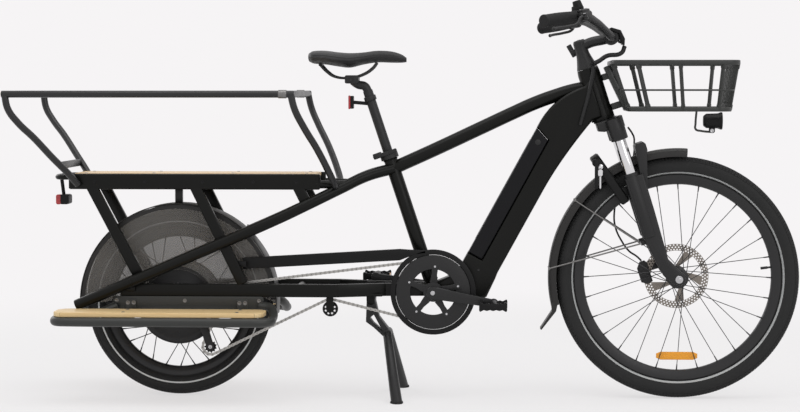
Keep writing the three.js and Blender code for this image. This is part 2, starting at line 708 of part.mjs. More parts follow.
function buildSeatTube() {
  const s = seatTube;
  const end = s.length;
  node('seat_tube', turned([
    [0, 0], [s.radius, 0], [s.radius, end], [s.bore + gap, end],
    [s.bore + gap, end - s.boreDepth], [0, end - s.boreDepth],
  ], seatLine(s.start), seatLine(s.start + end), s.sides), 'frame');
}

// The two long stays from the seat tube down past the rear wheel
const stayPoints = (side) => [
  seatLine(358, side * 9), v(-110, side * 32, 615), v(-180, side * 66, 582), v(-262, side * 98, 542),
  v(-347, side * 110.5, 501.4), v(-600, side * 114, 392), v(-904, side * 119, 261),
];

function stayCutter() {
  return join(...[drive, off].map((side) => (
    bent(stayPoints(side), stay.radius + gap, stay.sides, stay.steps))));
}

function buildStays() {
  const tubes = [drive, off].map((side) => (
    bent(stayPoints(side), stay.radius, stay.sides, stay.steps)));
  node('main_stays', cut(join(...tubes), seatTubeCutter()), 'frame');
}

// Lower rails with the dropouts, the rear axle and the stand's plate
const railCentre = (railSide.inner + railSide.outer) * half;
const railWidth = railSide.outer - railSide.inner;
const railBend = { bend: -190, yoke: { x: -58, y: 36 } };
const dropout = { inner: 67.5, halfLength: 24, low: 238, axleEnd: 82 };
const stayLink = { rear: -776, front: -748, low: 296, high: 314 };
const railTie = { x: -300, radius: 12 };
const standPlate = { rear: -142, front: -66, side: 66, thick: 8 };
const standPivot = { x: -100, z: 268, pin: 5, ear: 6, earInner: 24, earRadius: 12 };
const idlerArm = { thick: 6, width: 18, sunk: 3, below: 9, pin: 5, pinEnd: -45 };

function buildLowerRails() {
  const middle = (lowerRail.low + lowerRail.high) * half;
  const height = lowerRail.high - lowerRail.low;
  const { bend, yoke } = railBend;
  const parts = [];
  [drive, off].forEach((side) => {
    parts.push(bar(
      v(lowerRail.rear, side * railCentre, middle), v(bend, side * railCentre, middle), railWidth, height));
    parts.push(bar(
      v(bend - railWidth * half, side * railCentre, middle), v(yoke.x, side * yoke.y, middle),
      railWidth, height, 0));
    parts.push(bar(
      v(yoke.x - railWidth * 0.3, side * yoke.y, middle),
      v(bracket.x, side * (bracket.halfWidth - railWidth * half), middle), railWidth, height, 0));
    parts.push(sideBox(
      side, rearAxle.x - dropout.halfLength, rearAxle.x + dropout.halfLength,
      dropout.inner, railSide.inner + 2, dropout.low, lowerRail.high - 4));
    parts.push(sideBox(
      side, stayLink.rear, stayLink.front, railSide.outer - 2, stay.radius + railCentre,
      stayLink.low, stayLink.high));
    parts.push(sideBox(
      side, standPivot.x - standPivot.earRadius, standPivot.x + standPivot.earRadius,
      standPivot.earInner, standPivot.earInner + standPivot.ear, standPivot.z, lowerRail.low + 6));
    parts.push(crossRod(
      standPivot.x, standPivot.z,
      Math.min(side * standPivot.earInner, side * (standPivot.earInner + standPivot.ear)),
      Math.max(side * standPivot.earInner, side * (standPivot.earInner + standPivot.ear)),
      standPivot.earRadius, 14));
  });
  parts.push(crossRod(railTie.x, middle, -railCentre, railCentre, railTie.radius, 12));
  parts.push(crossRod(rearAxle.x, rearAxle.z, -dropout.axleEnd, dropout.axleEnd, axleRadius, 14));
  parts.push(box(
    v(standPlate.rear, -standPlate.side, lowerRail.low),
    v(standPlate.front, standPlate.side, lowerRail.low + standPlate.thick)));
  parts.push(crossRod(
    standPivot.x, standPivot.z, -standPivot.earInner - 2, standPivot.earInner + 2, standPivot.pin, 12));
  const armAt = -railSide.inner + idlerArm.sunk;
  parts.push(bar(
    v(idlerAt.x + 2, armAt, middle), v(idlerAt.x, armAt, idlerAt.z - idlerArm.below),
    idlerArm.width, idlerArm.thick));
  parts.push(crossRod(idlerAt.x, idlerAt.z, armAt, idlerArm.pinEnd, idlerArm.pin, 12));
  const shell = crossRod(
    bracket.x, bracket.z, -bracket.halfWidth - overrun, bracket.halfWidth + overrun,
    bracket.radius + 2 * gap, 18);
  const footCut = box(
    v(bracket.x - 12, -bracket.halfWidth - overrun, bracket.z - bracket.radius - overrun),
    v(bracket.x + 200, bracket.halfWidth + overrun, bracket.z + bracket.radius + overrun));
  const rails = cut(join(...parts), shell, footCut, seatTubeCutter(), stayCutter());
  node('lower_rails', rails, 'frame');
}

// The rack: deck rails, struts and cross members welded together
const strut = { width: 18, depth: 30 };
const strutPlaces = [
  { top: [-868, 582], foot: [-729, 318] },
  { top: [-579, 582], foot: [-450, 318] },
];
const smallStrut = { top: [-294, 582], foot: [-268, 530] };
const deckRod = { rear: [-250, 594], front: [-160, 592], frontSide: 58, radius: 11.5 };
const crossBars = { low: 590, high: 612, half: 11, places: [-905, -640, -262] };
// Half of the bow behind the deck: places from the deck rail to the middle, and its height and radius
const tailBow = { points: [[-925, 86], [-958, 82], [-972, 50], [-974, 0]], z: 612, radius: 7 };
const tyreRoom = { rear: -900, front: -400, side: 120, depth: 80 };

const deckRodSolid = (side, grow = 0) => rod(
  v(deckRod.rear[0], side * railCentre, deckRod.rear[1]),
  v(deckRod.front[0], side * deckRod.frontSide, deckRod.front[1]), deckRod.radius + grow, 8);

function buildRack() {
  const middle = (deckRail.low + deckRail.high) * half;
  const parts = [];
  [drive, off].forEach((side) => {
    parts.push(bar(
      v(deckRail.rear, side * railCentre, middle), v(deckRail.front, side * railCentre, middle),
      railWidth, deckRail.high - deckRail.low, 3));
    [...strutPlaces, smallStrut].forEach(({ top, foot }) => parts.push(bar(
      v(top[0], side * railCentre, top[1]), v(foot[0], side * railCentre, foot[1]),
      strut.width, strut.depth, 0)));
    parts.push(deckRodSolid(side));
  });
  crossBars.places.forEach((x) => parts.push(box(
    v(x - crossBars.half, -railCentre, crossBars.low), v(x + crossBars.half, railCentre, crossBars.high))));
  const bowHalf = tailBow.points.map(([x, y]) => v(x, -y, tailBow.z));
  const bowOther = bowHalf.slice(0, -1).reverse().map(mirrored);
  parts.push(bent([...bowHalf, ...bowOther], tailBow.radius, 6, 10));
  const floor = box(
    v(tyreRoom.rear, -tyreRoom.side, lowerRail.high - tyreRoom.depth),
    v(tyreRoom.front, tyreRoom.side, lowerRail.high + gap));
  node('rack', largest(cut(join(...parts), floor, stayCutter())), 'frame');
}

const deck = { thick: 11, rear: -921, front: -246, radius: 12 };

function buildDeck() {
  const side = railSide.inner - gap;
  const shape = roundedRectangle(deck.rear, deck.front, -side, side, deck.radius);
  node('deck_board', plate(shape, crossBars.high + gap, crossBars.high + gap + deck.thick, 1.2, 1), 'wood');
}

// The passenger rail: two hoops joined by bars across the top and a flat brace at the rear
const hoop = { radius: 9.5, sides: 8, side: 240, top: 842, rear: -1075, front: -300 };
const hoopRear = [
  v(-905, 103, 592), v(-926, 124, 622), v(-963, 160, 668), v(-1006, 195, 723),
  v(-1044, 223, 766), v(-1067, 236, 802), v(hoop.rear, hoop.side, hoop.top),
];
const hoopFront = [
  v(hoop.front, hoop.side, hoop.top), v(-290, 235, 802), v(-268, 214, 754), v(-235, 178, 693),
  v(-203, 128, 620), v(-195, 104, 597), v(-192, 84, 588),
];
const brace = { rear: -951, front: -944, side: 142, low: 636, high: 656 };

function buildPassengerRail() {
  const h = hoop;
  const parts = [];
  [drive, off].forEach((side) => {
    parts.push(bent(hoopRear.map((p) => onSide(side, p)), h.radius, h.sides, 8));
    parts.push(bent(hoopFront.map((p) => onSide(side, p)), h.radius, h.sides, 7));
    parts.push(rod(
      v(h.rear - h.radius, side * h.side, h.top), v(h.front + h.radius, side * h.side, h.top),
      h.radius, h.sides));
  });
  [h.rear, h.front].forEach((x) => parts.push(crossRod(x, h.top, -h.side, h.side, h.radius, h.sides)));
  parts.push(box(v(brace.rear, -brace.side, brace.low), v(brace.front, brace.side, brace.high)));
  const rails = [drive, off].map((side) => sideBox(
    side, deckRail.rear - overrun, deckRail.front + overrun, 0, railSide.outer + gap,
    deckRail.low - overrun, deckRail.high + overrun));
  const tubes = [drive, off].map((side) => deckRodSolid(side, gap));
  node('passenger_rail', cut(join(...parts), ...rails, ...tubes, stayCutter()), 'satin');
}

buildMainFrame();
buildStays();
buildLowerRails();
buildRack();
buildDeck();
buildPassengerRail();

// Footboards on their tubular loops, one on each side
const footboard = {
  rear: -953, front: -377, inner: 128, outer: 240, thick: 13, radius: 34, edge: 2,
};
const footTube = { radius: 12.5, z: 226, sides: 8, steps: 19 };
const sidePlate = { rear: -812, front: -392, low: 247, high: 284, thick: 4 };
const footBrackets = { places: [-760, -450], half: 15, flange: 4, down: 8 };

function buildFootboards() {
  const f = footboard;
  const t = footTube;
  const boardLow = t.z + t.radius + gap;
  [[drive, 'right'], [off, 'left']].forEach(([side, name]) => {
    const [a, b] = [side * f.inner, side * f.outer].sort((p, q) => p - q);
    const shape = roundedRectangle(f.rear, f.front, a, b, f.radius);
    const board = plate(shape, boardLow, boardLow + f.thick, f.edge, 2);
    node(`footboard_${name}`, cut(board, stayCutter()), 'wood');
    const plateIn = railSide.outer + gap;
    const plateOut = plateIn + sidePlate.thick;
    const parts = [
      sideBox(side, sidePlate.rear, sidePlate.front, plateIn, plateOut, sidePlate.low, sidePlate.high),
    ];
    const loop = [
      v(-400, plateOut - 2, 258), v(-374, 112, 256), v(-360, 140, 244), v(-359, 180, 229),
      v(-362, 214, t.z), v(-384, 236, t.z), v(-420, f.outer, t.z), v(-660, f.outer, t.z),
      v(-905, f.outer, t.z), v(-938, 232, t.z), v(-951, 205, t.z), v(-948, 160, t.z),
      v(-915, 136, t.z), v(-840, 118, 240), v(-800, plateOut - 2, 258),
    ].map((p) => onSide(side, p));
    parts.push(bent(loop, t.radius, t.sides, t.steps));
    footBrackets.places.forEach((x) => {
      const [left, right] = [x - footBrackets.half, x + footBrackets.half];
      parts.push(sideBox(side, left, right, plateIn, f.outer, t.z, t.z + t.radius));
      parts.push(sideBox(
        side, left, right, plateIn, plateOut + footBrackets.flange,
        t.z, sidePlate.high - footBrackets.down));
    });
    const boardRoom = box(
      v(f.rear - overrun, a - overrun, boardLow - gap),
      v(f.front + 2 * overrun + 2, b + overrun, boardLow + f.thick + gap));
    const inside = sideBox(
      side, f.rear - 2 * overrun, f.front + 4 * overrun, 0, f.inner - gap,
      boardLow - overrun, boardLow + f.thick + overrun);
    const boardCut = cut(boardRoom, inside);
    node(`foot_frame_${name}`, largest(cut(join(...parts), boardCut, stayCutter())), 'satin');
  });
}

// Rear mudguard with the two smoked side guards inside its edges
const guard = {
  inner: 274, outer: 277, halfWidth: 43, guardOut: 42.5, thick: 2.4, start: -7, end: 187,
  hubRoom: 92, above: 24,
};
const fenderStraps = { half: 10, rackAt: -640, rackHalf: 10, low: 296, high: 304 };

function buildRearGuards() {
  const g = guard;
  const band = arcBand(
    rearAxle, g.inner, g.outer, g.start * degree, g.end * degree, -g.halfWidth, g.halfWidth, 13);
  const f = fenderStraps;
  const strap = box(
    v(f.rackAt - f.rackHalf, -f.half, rearAxle.z + g.inner),
    v(f.rackAt + f.rackHalf, f.half, crossBars.low - gap));
  const frontStrap = box(
    v(rearAxle.x + g.inner - overrun, -f.half, f.low),
    v(railTie.x - railTie.radius - gap, f.half, f.high));
  node('rear_fender', join(band, strap, frontStrap), 'plastic');
  [[drive, 'right'], [off, 'left']].forEach(([side, name]) => {
    const shape = new THREE.Shape();
    shape.absarc(rearAxle.x, rearAxle.z, g.inner - 3 * gap, 0, Math.PI, false);
    shape.lineTo(rearAxle.x - g.inner * 0.75, rearAxle.z);
    shape.lineTo(rearAxle.x - g.inner * 0.45, rearAxle.z + g.above);
    shape.lineTo(rearAxle.x - g.hubRoom, rearAxle.z + g.above);
    shape.absarc(rearAxle.x, rearAxle.z, g.hubRoom, 165 * degree, 15 * degree, true);
    shape.lineTo(rearAxle.x + g.hubRoom, rearAxle.z + g.above);
    shape.lineTo(rearAxle.x + g.inner * 0.8, rearAxle.z + g.above);
    const [low, high] = [side * (g.guardOut - g.thick), side * g.guardOut].sort((p, q) => p - q);
    node(`guard_${name}`, slab(shape, low, high, 0, 12), 'smoke');
  });
}

const tailLight = {
  rear: -984, front: -948, low: 533, high: 561, corner: 7, half: 26, edge: 3,
  armFrom: [-966, 556], armTo: [-972, 604.6], armRadius: 5,
};

function buildTailLight() {
  const t = tailLight;
  const body = slab(roundedRectangle(t.rear, t.front, t.low, t.high, t.corner), -t.half, t.half, t.edge, 1);
  const arm = rod(v(t.armFrom[0], 0, t.armFrom[1]), v(t.armTo[0], 0, t.armTo[1]), t.armRadius, 8);
  node('tail_light', join(body, arm), 'red');
}

const chaincase = {
  outer: 118, inner: 104, low: -62, high: -54.6, barHigh: -43, rear: -454, rearLow: 357, rearHigh: 388,
  knee: -17, kneeLow: 383, kneeHigh: 414, hoodLow: 386, front: 20, frontLow: 398, frontHigh: 411,
};
const caseStrap = { rear: 20, front: 54, low: 396, high: 405 };
const caseTab = { rear: -486, low: 364, high: 380, lap: 12 };

function buildChaincase() {
  const c = chaincase;
  const cover = ring(bracket, c.inner, c.outer, c.low, c.high, 13);
  const meet = bracket.x - 20;
  const arm = slab(outlineShape([
    [c.rear, c.rearLow], [c.rear, c.rearHigh], [c.knee, c.kneeHigh], [meet, bracket.z + c.outer - 2],
    [meet, bracket.z + c.inner + 3], [c.knee, c.kneeLow],
  ]), c.low, c.high);
  const hood = slab(outlineShape([
    [c.rear, c.rearLow], [c.rear, c.rearHigh], [c.knee, c.kneeHigh], [c.front, c.frontHigh],
    [c.front, c.frontLow], [c.knee, c.hoodLow],
  ]), c.low, c.barHigh);
  const strap = box(
    v(caseStrap.rear, c.low, caseStrap.low), v(caseStrap.front, -seatTube.radius + 4, caseStrap.high));
  const tab = sideBox(
    drive, caseTab.rear, c.rear + caseTab.lap, -c.low - 2, railSide.inner - gap, caseTab.low, caseTab.high);
  node('chaincase', cut(join(cover, arm, hood, strap, tab), seatTubeCutter()), 'plastic');
}

const changer = {
  outer: -58.5, inner: -54.6, end: 12, plateWidth: 15, wheelHalf: 1.6, pin: 4,
  knuckle: 14, knuckleOut: 8, linkOut: 5, linkWidth: 8, linkHeight: 20, linkTop: [-606, 236],
  hanger: { rear: -625, front: -598, low: 226, high: 262, out: 8.7, in: 3 },
};

function buildDerailleur() {
  const c = changer;
  const radius = tipOf(jockeyTeeth);
  const middle = (c.outer + c.inner) * half;
  const cage = join(
    crossRod(upperJockey.x, upperJockey.z, c.outer, c.inner, c.end, 10),
    crossRod(lowerJockey.x, lowerJockey.z, c.outer, c.inner, c.end, 10),
    bar(
      v(upperJockey.x, middle, upperJockey.z), v(lowerJockey.x, middle, lowerJockey.z),
      c.inner - c.outer, c.plateWidth, 1));
  const wheels = [upperJockey, lowerJockey].map(({ x, z }) => join(
    crossRod(x, z, chainLine - c.wheelHalf, chainLine + c.wheelHalf, radius, 12),
    crossRod(x, z, c.outer, chainLine, c.pin, 6)));
  const [hubX, hubZ] = [upperJockey.x - 6, upperJockey.z + 2];
  const knuckle = rod(v(hubX, c.outer - c.knuckleOut, hubZ), v(hubX, c.outer + 2, hubZ), c.knuckle, 10);
  const link = bar(
    v(c.linkTop[0], c.outer - c.linkOut, c.linkTop[1]), v(hubX, c.outer - c.linkOut, hubZ),
    c.linkWidth, c.linkHeight, 2);
  const hanger = box(
    v(c.hanger.rear, c.outer - c.hanger.out, c.hanger.low),
    v(c.hanger.front, c.outer - c.hanger.in, c.hanger.high));
  node('derailleur', largest(join(hanger, link, knuckle, cage, ...wheels)), 'satin');
}

buildFootboards();
buildRearGuards();
buildTailLight();
buildChaincase();
buildDerailleur();

// Centre stand: a cast yoke on the pivot with two splayed legs that end flat on the ground
const stand = {
  legRadius: 12, footRadius: 16, barrel: 12, spread: 163, foot: -20, knee: -54, kneeZ: 176, kneeSide: 30,
  sunk: 14,
};

function buildStand() {
  const s = stand;
  const p = standPivot;
  const barrel = crossRod(p.x, p.z, -p.earInner + gap, p.earInner - gap, s.barrel, 16);
  const arm = slab(outlineShape([
    [p.x - s.barrel, p.z - 2], [p.x - 14, p.z - 60], [p.x + 8, p.z - 76],
    [s.knee - 8, s.kneeZ - 12], [s.knee + 12, s.kneeZ], [p.x + 22, p.z - 46], [p.x + s.barrel, p.z - 2],
  ]), -p.earInner + gap, p.earInner - gap);
  const yoke = crossRod(s.knee, s.kneeZ, -36, 36, s.legRadius, 12);
  const legs = [drive, off].map((side) => rod(
    v(s.knee, side * s.kneeSide, s.kneeZ), v(s.foot + 3, side * (s.spread + 10), -s.sunk),
    s.legRadius, 10, s.footRadius));
  const ground = box(v(-200, -300, -60), v(200, 300, 0));
  const bore = crossRod(p.x, p.z, -p.earInner - overrun, p.earInner + overrun, p.pin + gap, 12);
  const window = slab(outlineShape([
    [p.x - 4, p.z - 50], [p.x + 6, p.z - 64], [s.knee - 12, s.kneeZ + 4], [p.x + 8, p.z - 40],
  ]), -60, 60);
  node('kickstand', cut(join(cut(join(barrel, arm), window), yoke, ...legs), ground, bore), 'satin');
}

// Seat clamp, quick-release lever, post and saddle
const clampRing = { thick: 6, height: 22 };
const seatPost = {
  inserted: 122, elbow: 586, headX: -152, headZ: 879, ringAt: 556, ringHeight: 14, ringThick: 3.5,
};
const saddleRail = {
  radius: 3.6, bridgeX: -240, bridgeZ: 922.9, bridgeHalf: 36, bridgeRadius: 4,
  points: [
    [-240, 34, 922.9], [-222, 30, 904], [-200, 24, 890], [-152, 24, 888], [-120, 23, 897],
    [-95, 20, 914], [-84, 14, 928],
  ],
};
const seatReflector = { rear: -163, front: -149, low: 800, high: 838, corner: 4, half: 17, armAt: 548 };

function buildSeat() {
  const c = clampRing;
  const outer = seatTube.radius + gap + c.thick;
  const top = seatTube.start + seatTube.length;
  const band = turned(closed([
    [seatTube.radius + gap, 0], [outer, 0], [outer, c.height], [seatTube.radius + gap, c.height],
  ]), seatLine(top - c.height + 2), seatLine(top), 16);
  const ear = bar(
    seatLine(top - 9).add(v(-outer - 18, 0, -6)), seatLine(top - 9).add(v(-outer + 5, 0, 2)), 22, 16);
  node('seat_clamp', cut(join(band, ear), seatTubeCutter()), 'satin');
  const cam = seatLine(top - 9).add(v(-outer - 10, -19, -3.5));
  const lever = join(
    rod(cam.clone().add(v(0, 7.6, 0)), cam.clone().add(v(0, -7, 0)), 8, 12),
    bar(cam.clone().add(v(-4, -6, -1)), cam.clone().add(v(58, -14, 19)), 5, 12, 1));
  node('qr_lever', lever, 'satin');
  const p = seatPost;
  const postLow = top - p.inserted;
  const elbow = seatLine(p.elbow);
  const head = v(p.headX, 0, p.headZ);
  const [ringLow, postHigh] = [p.ringAt - postLow, p.elbow - postLow];
  const [radius, ringRadius] = [seatTube.bore, seatTube.bore + p.ringThick];
  const post = turned([
    [0, 0], [radius, 0], [radius, ringLow], [ringRadius, ringLow], [ringRadius, ringLow + p.ringHeight],
    [radius, ringLow + p.ringHeight], [radius, postHigh], [0, postHigh],
  ], seatLine(postLow), elbow, 14);
  const crown = bent([seatLine(578), elbow.clone().add(v(-8, 0, 12)), v(-136, 0, 868), head], 12, 10, 5);
  const clampBlock = box(v(head.x - 20, -29, head.z - 8), v(head.x + 18, 29, head.z + 15));
  const r = saddleRail;
  const rails = [drive, off].map((side) => (
    bent(r.points.map(([x, y, z]) => v(x, side * y, z)), r.radius, 6, 7)));
  const bridge = crossRod(r.bridgeX, r.bridgeZ, -r.bridgeHalf, r.bridgeHalf, r.bridgeRadius, 8);
  const b = seatReflector;
  const light = slab(roundedRectangle(b.rear, b.front, b.low, b.high, b.corner), -b.half, b.half, 0, 2);
  const lightArm = rod(
    v(b.front - 1, 0, (b.low + b.high) * half), seatLine(b.armAt).add(v(-10, 0, 0)), 5, 6);
  node('seatpost', join(post, crown, clampBlock, bridge, light, lightArm, ...rails), 'satin');
  buildSaddle();
}

// The saddle as rings across its length: places and sizes are shares of its length, height and half width
const saddle = { rear: -271, length: 269, low: 925.6, height: 38, halfWidth: 88, ringPoints: 14 };
const saddleShares = [
  { at: 0, top: 0.42, low: 0.25, wide: 0.55 }, { at: 0.05, top: 0.88, low: 0.08, wide: 0.86 },
  { at: 0.17, top: 0.95, low: 0, wide: 1 }, { at: 0.3, top: 0.84, low: 0, wide: 0.9 },
  { at: 0.42, top: 0.78, low: 0.02, wide: 0.64 }, { at: 0.55, top: 0.84, low: 0.06, wide: 0.42 },
  { at: 0.7, top: 0.98, low: 0.1, wide: 0.29 }, { at: 0.85, top: 0.92, low: 0.06, wide: 0.25 },
  { at: 0.95, top: 0.62, low: 0.04, wide: 0.2 }, { at: 1, top: 0.3, low: 0.08, wide: 0.1 },
];

function loft(rings) {
  const count = rings[0].length;
  const places = [];
  const faces = [];
  rings.forEach((points) => points.forEach((p) => places.push(p.x, p.y, p.z)));
  const at = (i, j) => i * count + (j % count);
  for (let i = 0; i + 1 < rings.length; i += 1) {
    for (let j = 0; j < count; j += 1) {
      faces.push(at(i, j), at(i, j + 1), at(i + 1, j + 1), at(i, j), at(i + 1, j + 1), at(i + 1, j));
    }
  }
  [0, rings.length - 1].forEach((i, last) => {
    for (let j = 1; j + 1 < count; j += 1) {
      faces.push(...(last ? [at(i, 0), at(i, j), at(i, j + 1)] : [at(i, 0), at(i, j + 1), at(i, j)]));
    }
  });
  const geometry = new THREE.BufferGeometry();
  geometry.setAttribute('position', new THREE.Float32BufferAttribute(places, 3));
  geometry.setIndex(faces);
  return solid(geometry);
}

function buildSaddle() {
  const s = saddle;
  const rings = saddleShares.map(({ at, top, low, wide }) => (
    Array.from({ length: s.ringPoints }, (_, j) => {
      const angle = (j / s.ringPoints) * fullTurn;
      const sideways = Math.cos(angle);
      const upward = Math.sin(angle);
      const crown = s.low + s.height * (upward > 0
        ? low + (top - low) * (0.45 + 0.55 * upward) : low + (top - low) * 0.45 * (1 + upward));
      const drawn = upward < 0 ? 0.93 : 1;
      return v(s.rear + s.length * at, s.halfWidth * wide * drawn * sideways, crown);
    })));
  node('saddle', loft(rings), 'leather');
}

buildStand();
buildSeat();

// Fork: crown, steerer and stanchions are one piece, and the lowers slide on the stanchions
const crown = {
  low: 446, high: 476, rear: -24, front: 50, sleeve: 24, sleeveLow: 413, sleeveHigh: 474, corner: 30,
};
const race = { radius: 28, high: 478.7 };
const mudguardBoss = { side: 55.2, up: 123.4, front: 14, rear: -6, radius: 6 };
const pegGeometry = (side, grow) => rodGeometry(
  v(mudguardBoss.front, side * mudguardBoss.side, mudguardBoss.up),
  v(mudguardBoss.rear - grow, side * mudguardBoss.side, mudguardBoss.up), mudguardBoss.radius + grow, 8);
const mudguardPeg = (side, grow) => solid(pegGeometry(side, grow));
const leg = {
  top: 311, tubeRadius: 20.5, thick: 30, edge: 5, inner: 51, boreLow: 145,
};
const arch = { top: 388, low: 362, rear: 58, front: 88, thick: 16 };

function buildForkCrown() {
  const c = crown;
  const bridge = slab(outlineShape([
    [c.rear, c.low + 6], [c.rear, c.high], [c.front, c.high], [c.front, c.low], [c.rear + 16, c.low],
  ]), -stanchion.side, stanchion.side, 3);
  const corners = [drive, off].map((side) => rod(
    v(c.rear, side * stanchion.side, c.low - overrun), v(c.rear, side * stanchion.side, c.high + overrun),
    c.corner, 4));
  const tubes = [drive, off].map((side) => join(
    rod(
      v(stanchion.ahead, side * stanchion.side, stanchion.low),
      v(stanchion.ahead, side * stanchion.side, stanchion.top), stanchion.radius, stanchion.sides),
    rod(
      v(stanchion.ahead, side * stanchion.side, c.sleeveLow),
      v(stanchion.ahead, side * stanchion.side, c.sleeveHigh), c.sleeve, 14)));
  const column = rod(v(0, 0, steerer.low), v(0, 0, steerer.top), steerer.radius, headTube.sides);
  const seat = rod(v(0, 0, c.high - 2), v(0, 0, race.high), race.radius, headTube.sides);
  node('fork_crown', join(cut(bridge, ...corners), column, seat, ...tubes), 'chrome', fork);
}

function buildForkLowers() {
  const l = leg;
  const parts = [];
  [drive, off].forEach((side) => {
    const [low, high] = [side * l.inner, side * (l.inner + l.thick)].sort((p, q) => p - q);
    const outline = outlineShape([
      [4, l.top - 4], [4, 150], [17, 62], [26, 22], [44, -6], [rake, -19], [rake + 17, -10],
      [rake + 20, 6], [rake + 8, 24], [52, 60], [56, 200], [57, l.top - 4],
    ]);
    parts.push(slab(outline, low, high, l.edge));
    parts.push(rod(
      v(stanchion.ahead, side * stanchion.side, l.boreLow - 12),
      v(stanchion.ahead, side * stanchion.side, l.top), l.tubeRadius, 14));
    parts.push(slab(outlineShape([
      [38, 270], [57, 262], [arch.front, arch.low + 6], [arch.front, arch.top - 4],
      [arch.front - 4, arch.top], [arch.rear + 4, arch.top], [arch.rear, arch.top - 4], [48, l.top],
    ]), Math.min(side * (stanchion.side - arch.thick), side * stanchion.side),
    Math.max(side * (stanchion.side - arch.thick), side * stanchion.side)));
    parts.push(mudguardPeg(side, 0));
  });
  parts.push(slab(outlineShape([
    [arch.rear, arch.low], [arch.front, arch.low], [arch.front, arch.top - 4], [arch.front - 4, arch.top],
    [arch.rear + 4, arch.top], [arch.rear, arch.top - 4],
  ]), -stanchion.side, stanchion.side, 0));
  parts.push(rod(
    v(rake, -l.inner - l.thick - 5, 0), v(rake, l.inner + l.thick + 5, 0), axleRadius, 14));
  parts.push(box(v(-2, l.inner + 2, 34), v(30, l.inner + 20, 62)));
  const bores = [drive, off].map((side) => rod(
    v(stanchion.ahead, side * stanchion.side, l.boreLow),
    v(stanchion.ahead, side * stanchion.side, l.top + overrun),
    stanchion.radius + legBore.clear, stanchion.sides));
  node('fork_lowers', cut(join(...parts), ...bores), 'satin', fork);
}

// Front mudguard: a band with a slanted flap and two stays on each side
const fender = { inner: 354, outer: 358, halfWidth: 31, tip: 86, end: 193 };

function buildFrontFender() {
  const f = fender;
  const [start, end] = [f.tip * degree, f.end * degree];
  const band = arcBand(frontAxle, f.inner, f.outer, start, end, -f.halfWidth, f.halfWidth, 12);
  const edge = (radius, angle) => [
    frontAxle.x + radius * Math.cos(angle), frontAxle.z + radius * Math.sin(angle)];
  const [hingeX, hingeZ] = edge(f.inner, end - 2 * degree);
  const flap = slab(outlineShape([
    [hingeX, hingeZ], [hingeX - 4, hingeZ], [370, 190], [375, 188], [hingeX + 2, hingeZ - 30],
  ]), -f.halfWidth, f.halfWidth);
  const boss = steerPoint(-6, mudguardBoss.up);
  const stays = [drive, off].flatMap((side) => [143, 176].map((angle) => {
    const [x, z] = edge(f.inner + 1, angle * degree);
    return rod(v(boss[0] - 3, side * mudguardBoss.side, boss[1]), v(x, side * (f.halfWidth - 1), z), 2.2, 4);
  }));
  const eyes = [drive, off].map((side) => crossRod(
    boss[0] - 4.5, boss[1], side * mudguardBoss.side - 4, side * mudguardBoss.side + 4, 4, 6));
  const whole = join(band, flap, ...stays, ...eyes);
  node('front_fender', cut(whole, archCutter(), bossCutter()), 'plastic');
}

const archCutter = () => solid(inFork(boxGeometry(
  v(arch.rear - gap, -stanchion.side, arch.low - gap), v(arch.front + gap, stanchion.side, arch.top))));

const bossCutter = () => join(...[drive, off].map((side) => solid(inFork(pegGeometry(side, gap)))));

// Ring lock: a horseshoe across the tyre, its arms reaching in past the rim
const lock = {
  outer: 62, inner: 40, top: 411, crown: 372, arms: 254, thick: 26, ahead: 2, at: 125.1 * degree,
};

function buildRingLock() {
  const k = lock;
  const shape = new THREE.Shape();
  shape.moveTo(-k.outer, k.arms);
  shape.lineTo(-k.inner, k.arms);
  shape.lineTo(-k.inner, k.crown - 30);
  shape.quadraticCurveTo(-k.inner, k.crown, 0, k.crown);
  shape.quadraticCurveTo(k.inner, k.crown, k.inner, k.crown - 30);
  shape.lineTo(k.inner, k.arms);
  shape.lineTo(k.outer, k.arms);
  shape.lineTo(k.outer, k.crown - 10);
  shape.quadraticCurveTo(k.outer, k.top, 0, k.top);
  shape.quadraticCurveTo(-k.outer, k.top, -k.outer, k.crown - 10);
  shape.closePath();
  const depth = k.thick;
  const geometry = new THREE.ExtrudeGeometry(shape, {
    depth: depth - 8, steps: 1, curveSegments: 6, bevelEnabled: true,
    bevelThickness: 4, bevelSize: 4, bevelOffset: -4, bevelSegments: 1,
  });
  geometry.rotateX(Math.PI / 2).rotateZ(Math.PI / 2);
  geometry.translate(k.ahead - (depth - 8) * half, 0, 0);
  // The horseshoe stands along the wheel's radius, behind the legs
  geometry.rotateY(-k.at + Math.PI / 2);
  geometry.translate(frontAxle.x, 0, frontAxle.z);
  const inward = v(Math.cos(k.at), 0, Math.sin(k.at));
  const barrelAt = v(frontAxle.x, 0, frontAxle.z).addScaledVector(inward, k.top - 22);
  const barrel = rod(
    v(barrelAt.x - 4, -k.outer + 10, barrelAt.z), v(barrelAt.x - 4, -k.outer - 8, barrelAt.z), 11, 12);
  const key = box(
    v(barrelAt.x - 8, -k.outer - 13, barrelAt.z - 70), v(barrelAt.x + 1, -k.outer - 10.5, barrelAt.z + 8));
  const keyStem = rod(
    v(barrelAt.x - 4, -k.outer - 7, barrelAt.z), v(barrelAt.x - 4, -k.outer - 12, barrelAt.z), 3, 8);
  const clampBars = [drive, off].map((side) => solid(inFork(boxGeometry(
    v(-26, Math.min(side * 46, side * 58), 262), v(4 - gap, Math.max(side * 46, side * 58), 286)))));
  const whole = join(solid(geometry), barrel, key, keyStem, ...clampBars);
  const legTubes = [drive, off].map((side) => solid(inFork(rodGeometry(
    v(stanchion.ahead, side * stanchion.side, leg.boreLow - 12),
    v(stanchion.ahead, side * stanchion.side, leg.top + overrun), leg.tubeRadius + 2 * gap, 14))));
  node('ring_lock', cut(whole, ...legTubes), 'plastic');
}

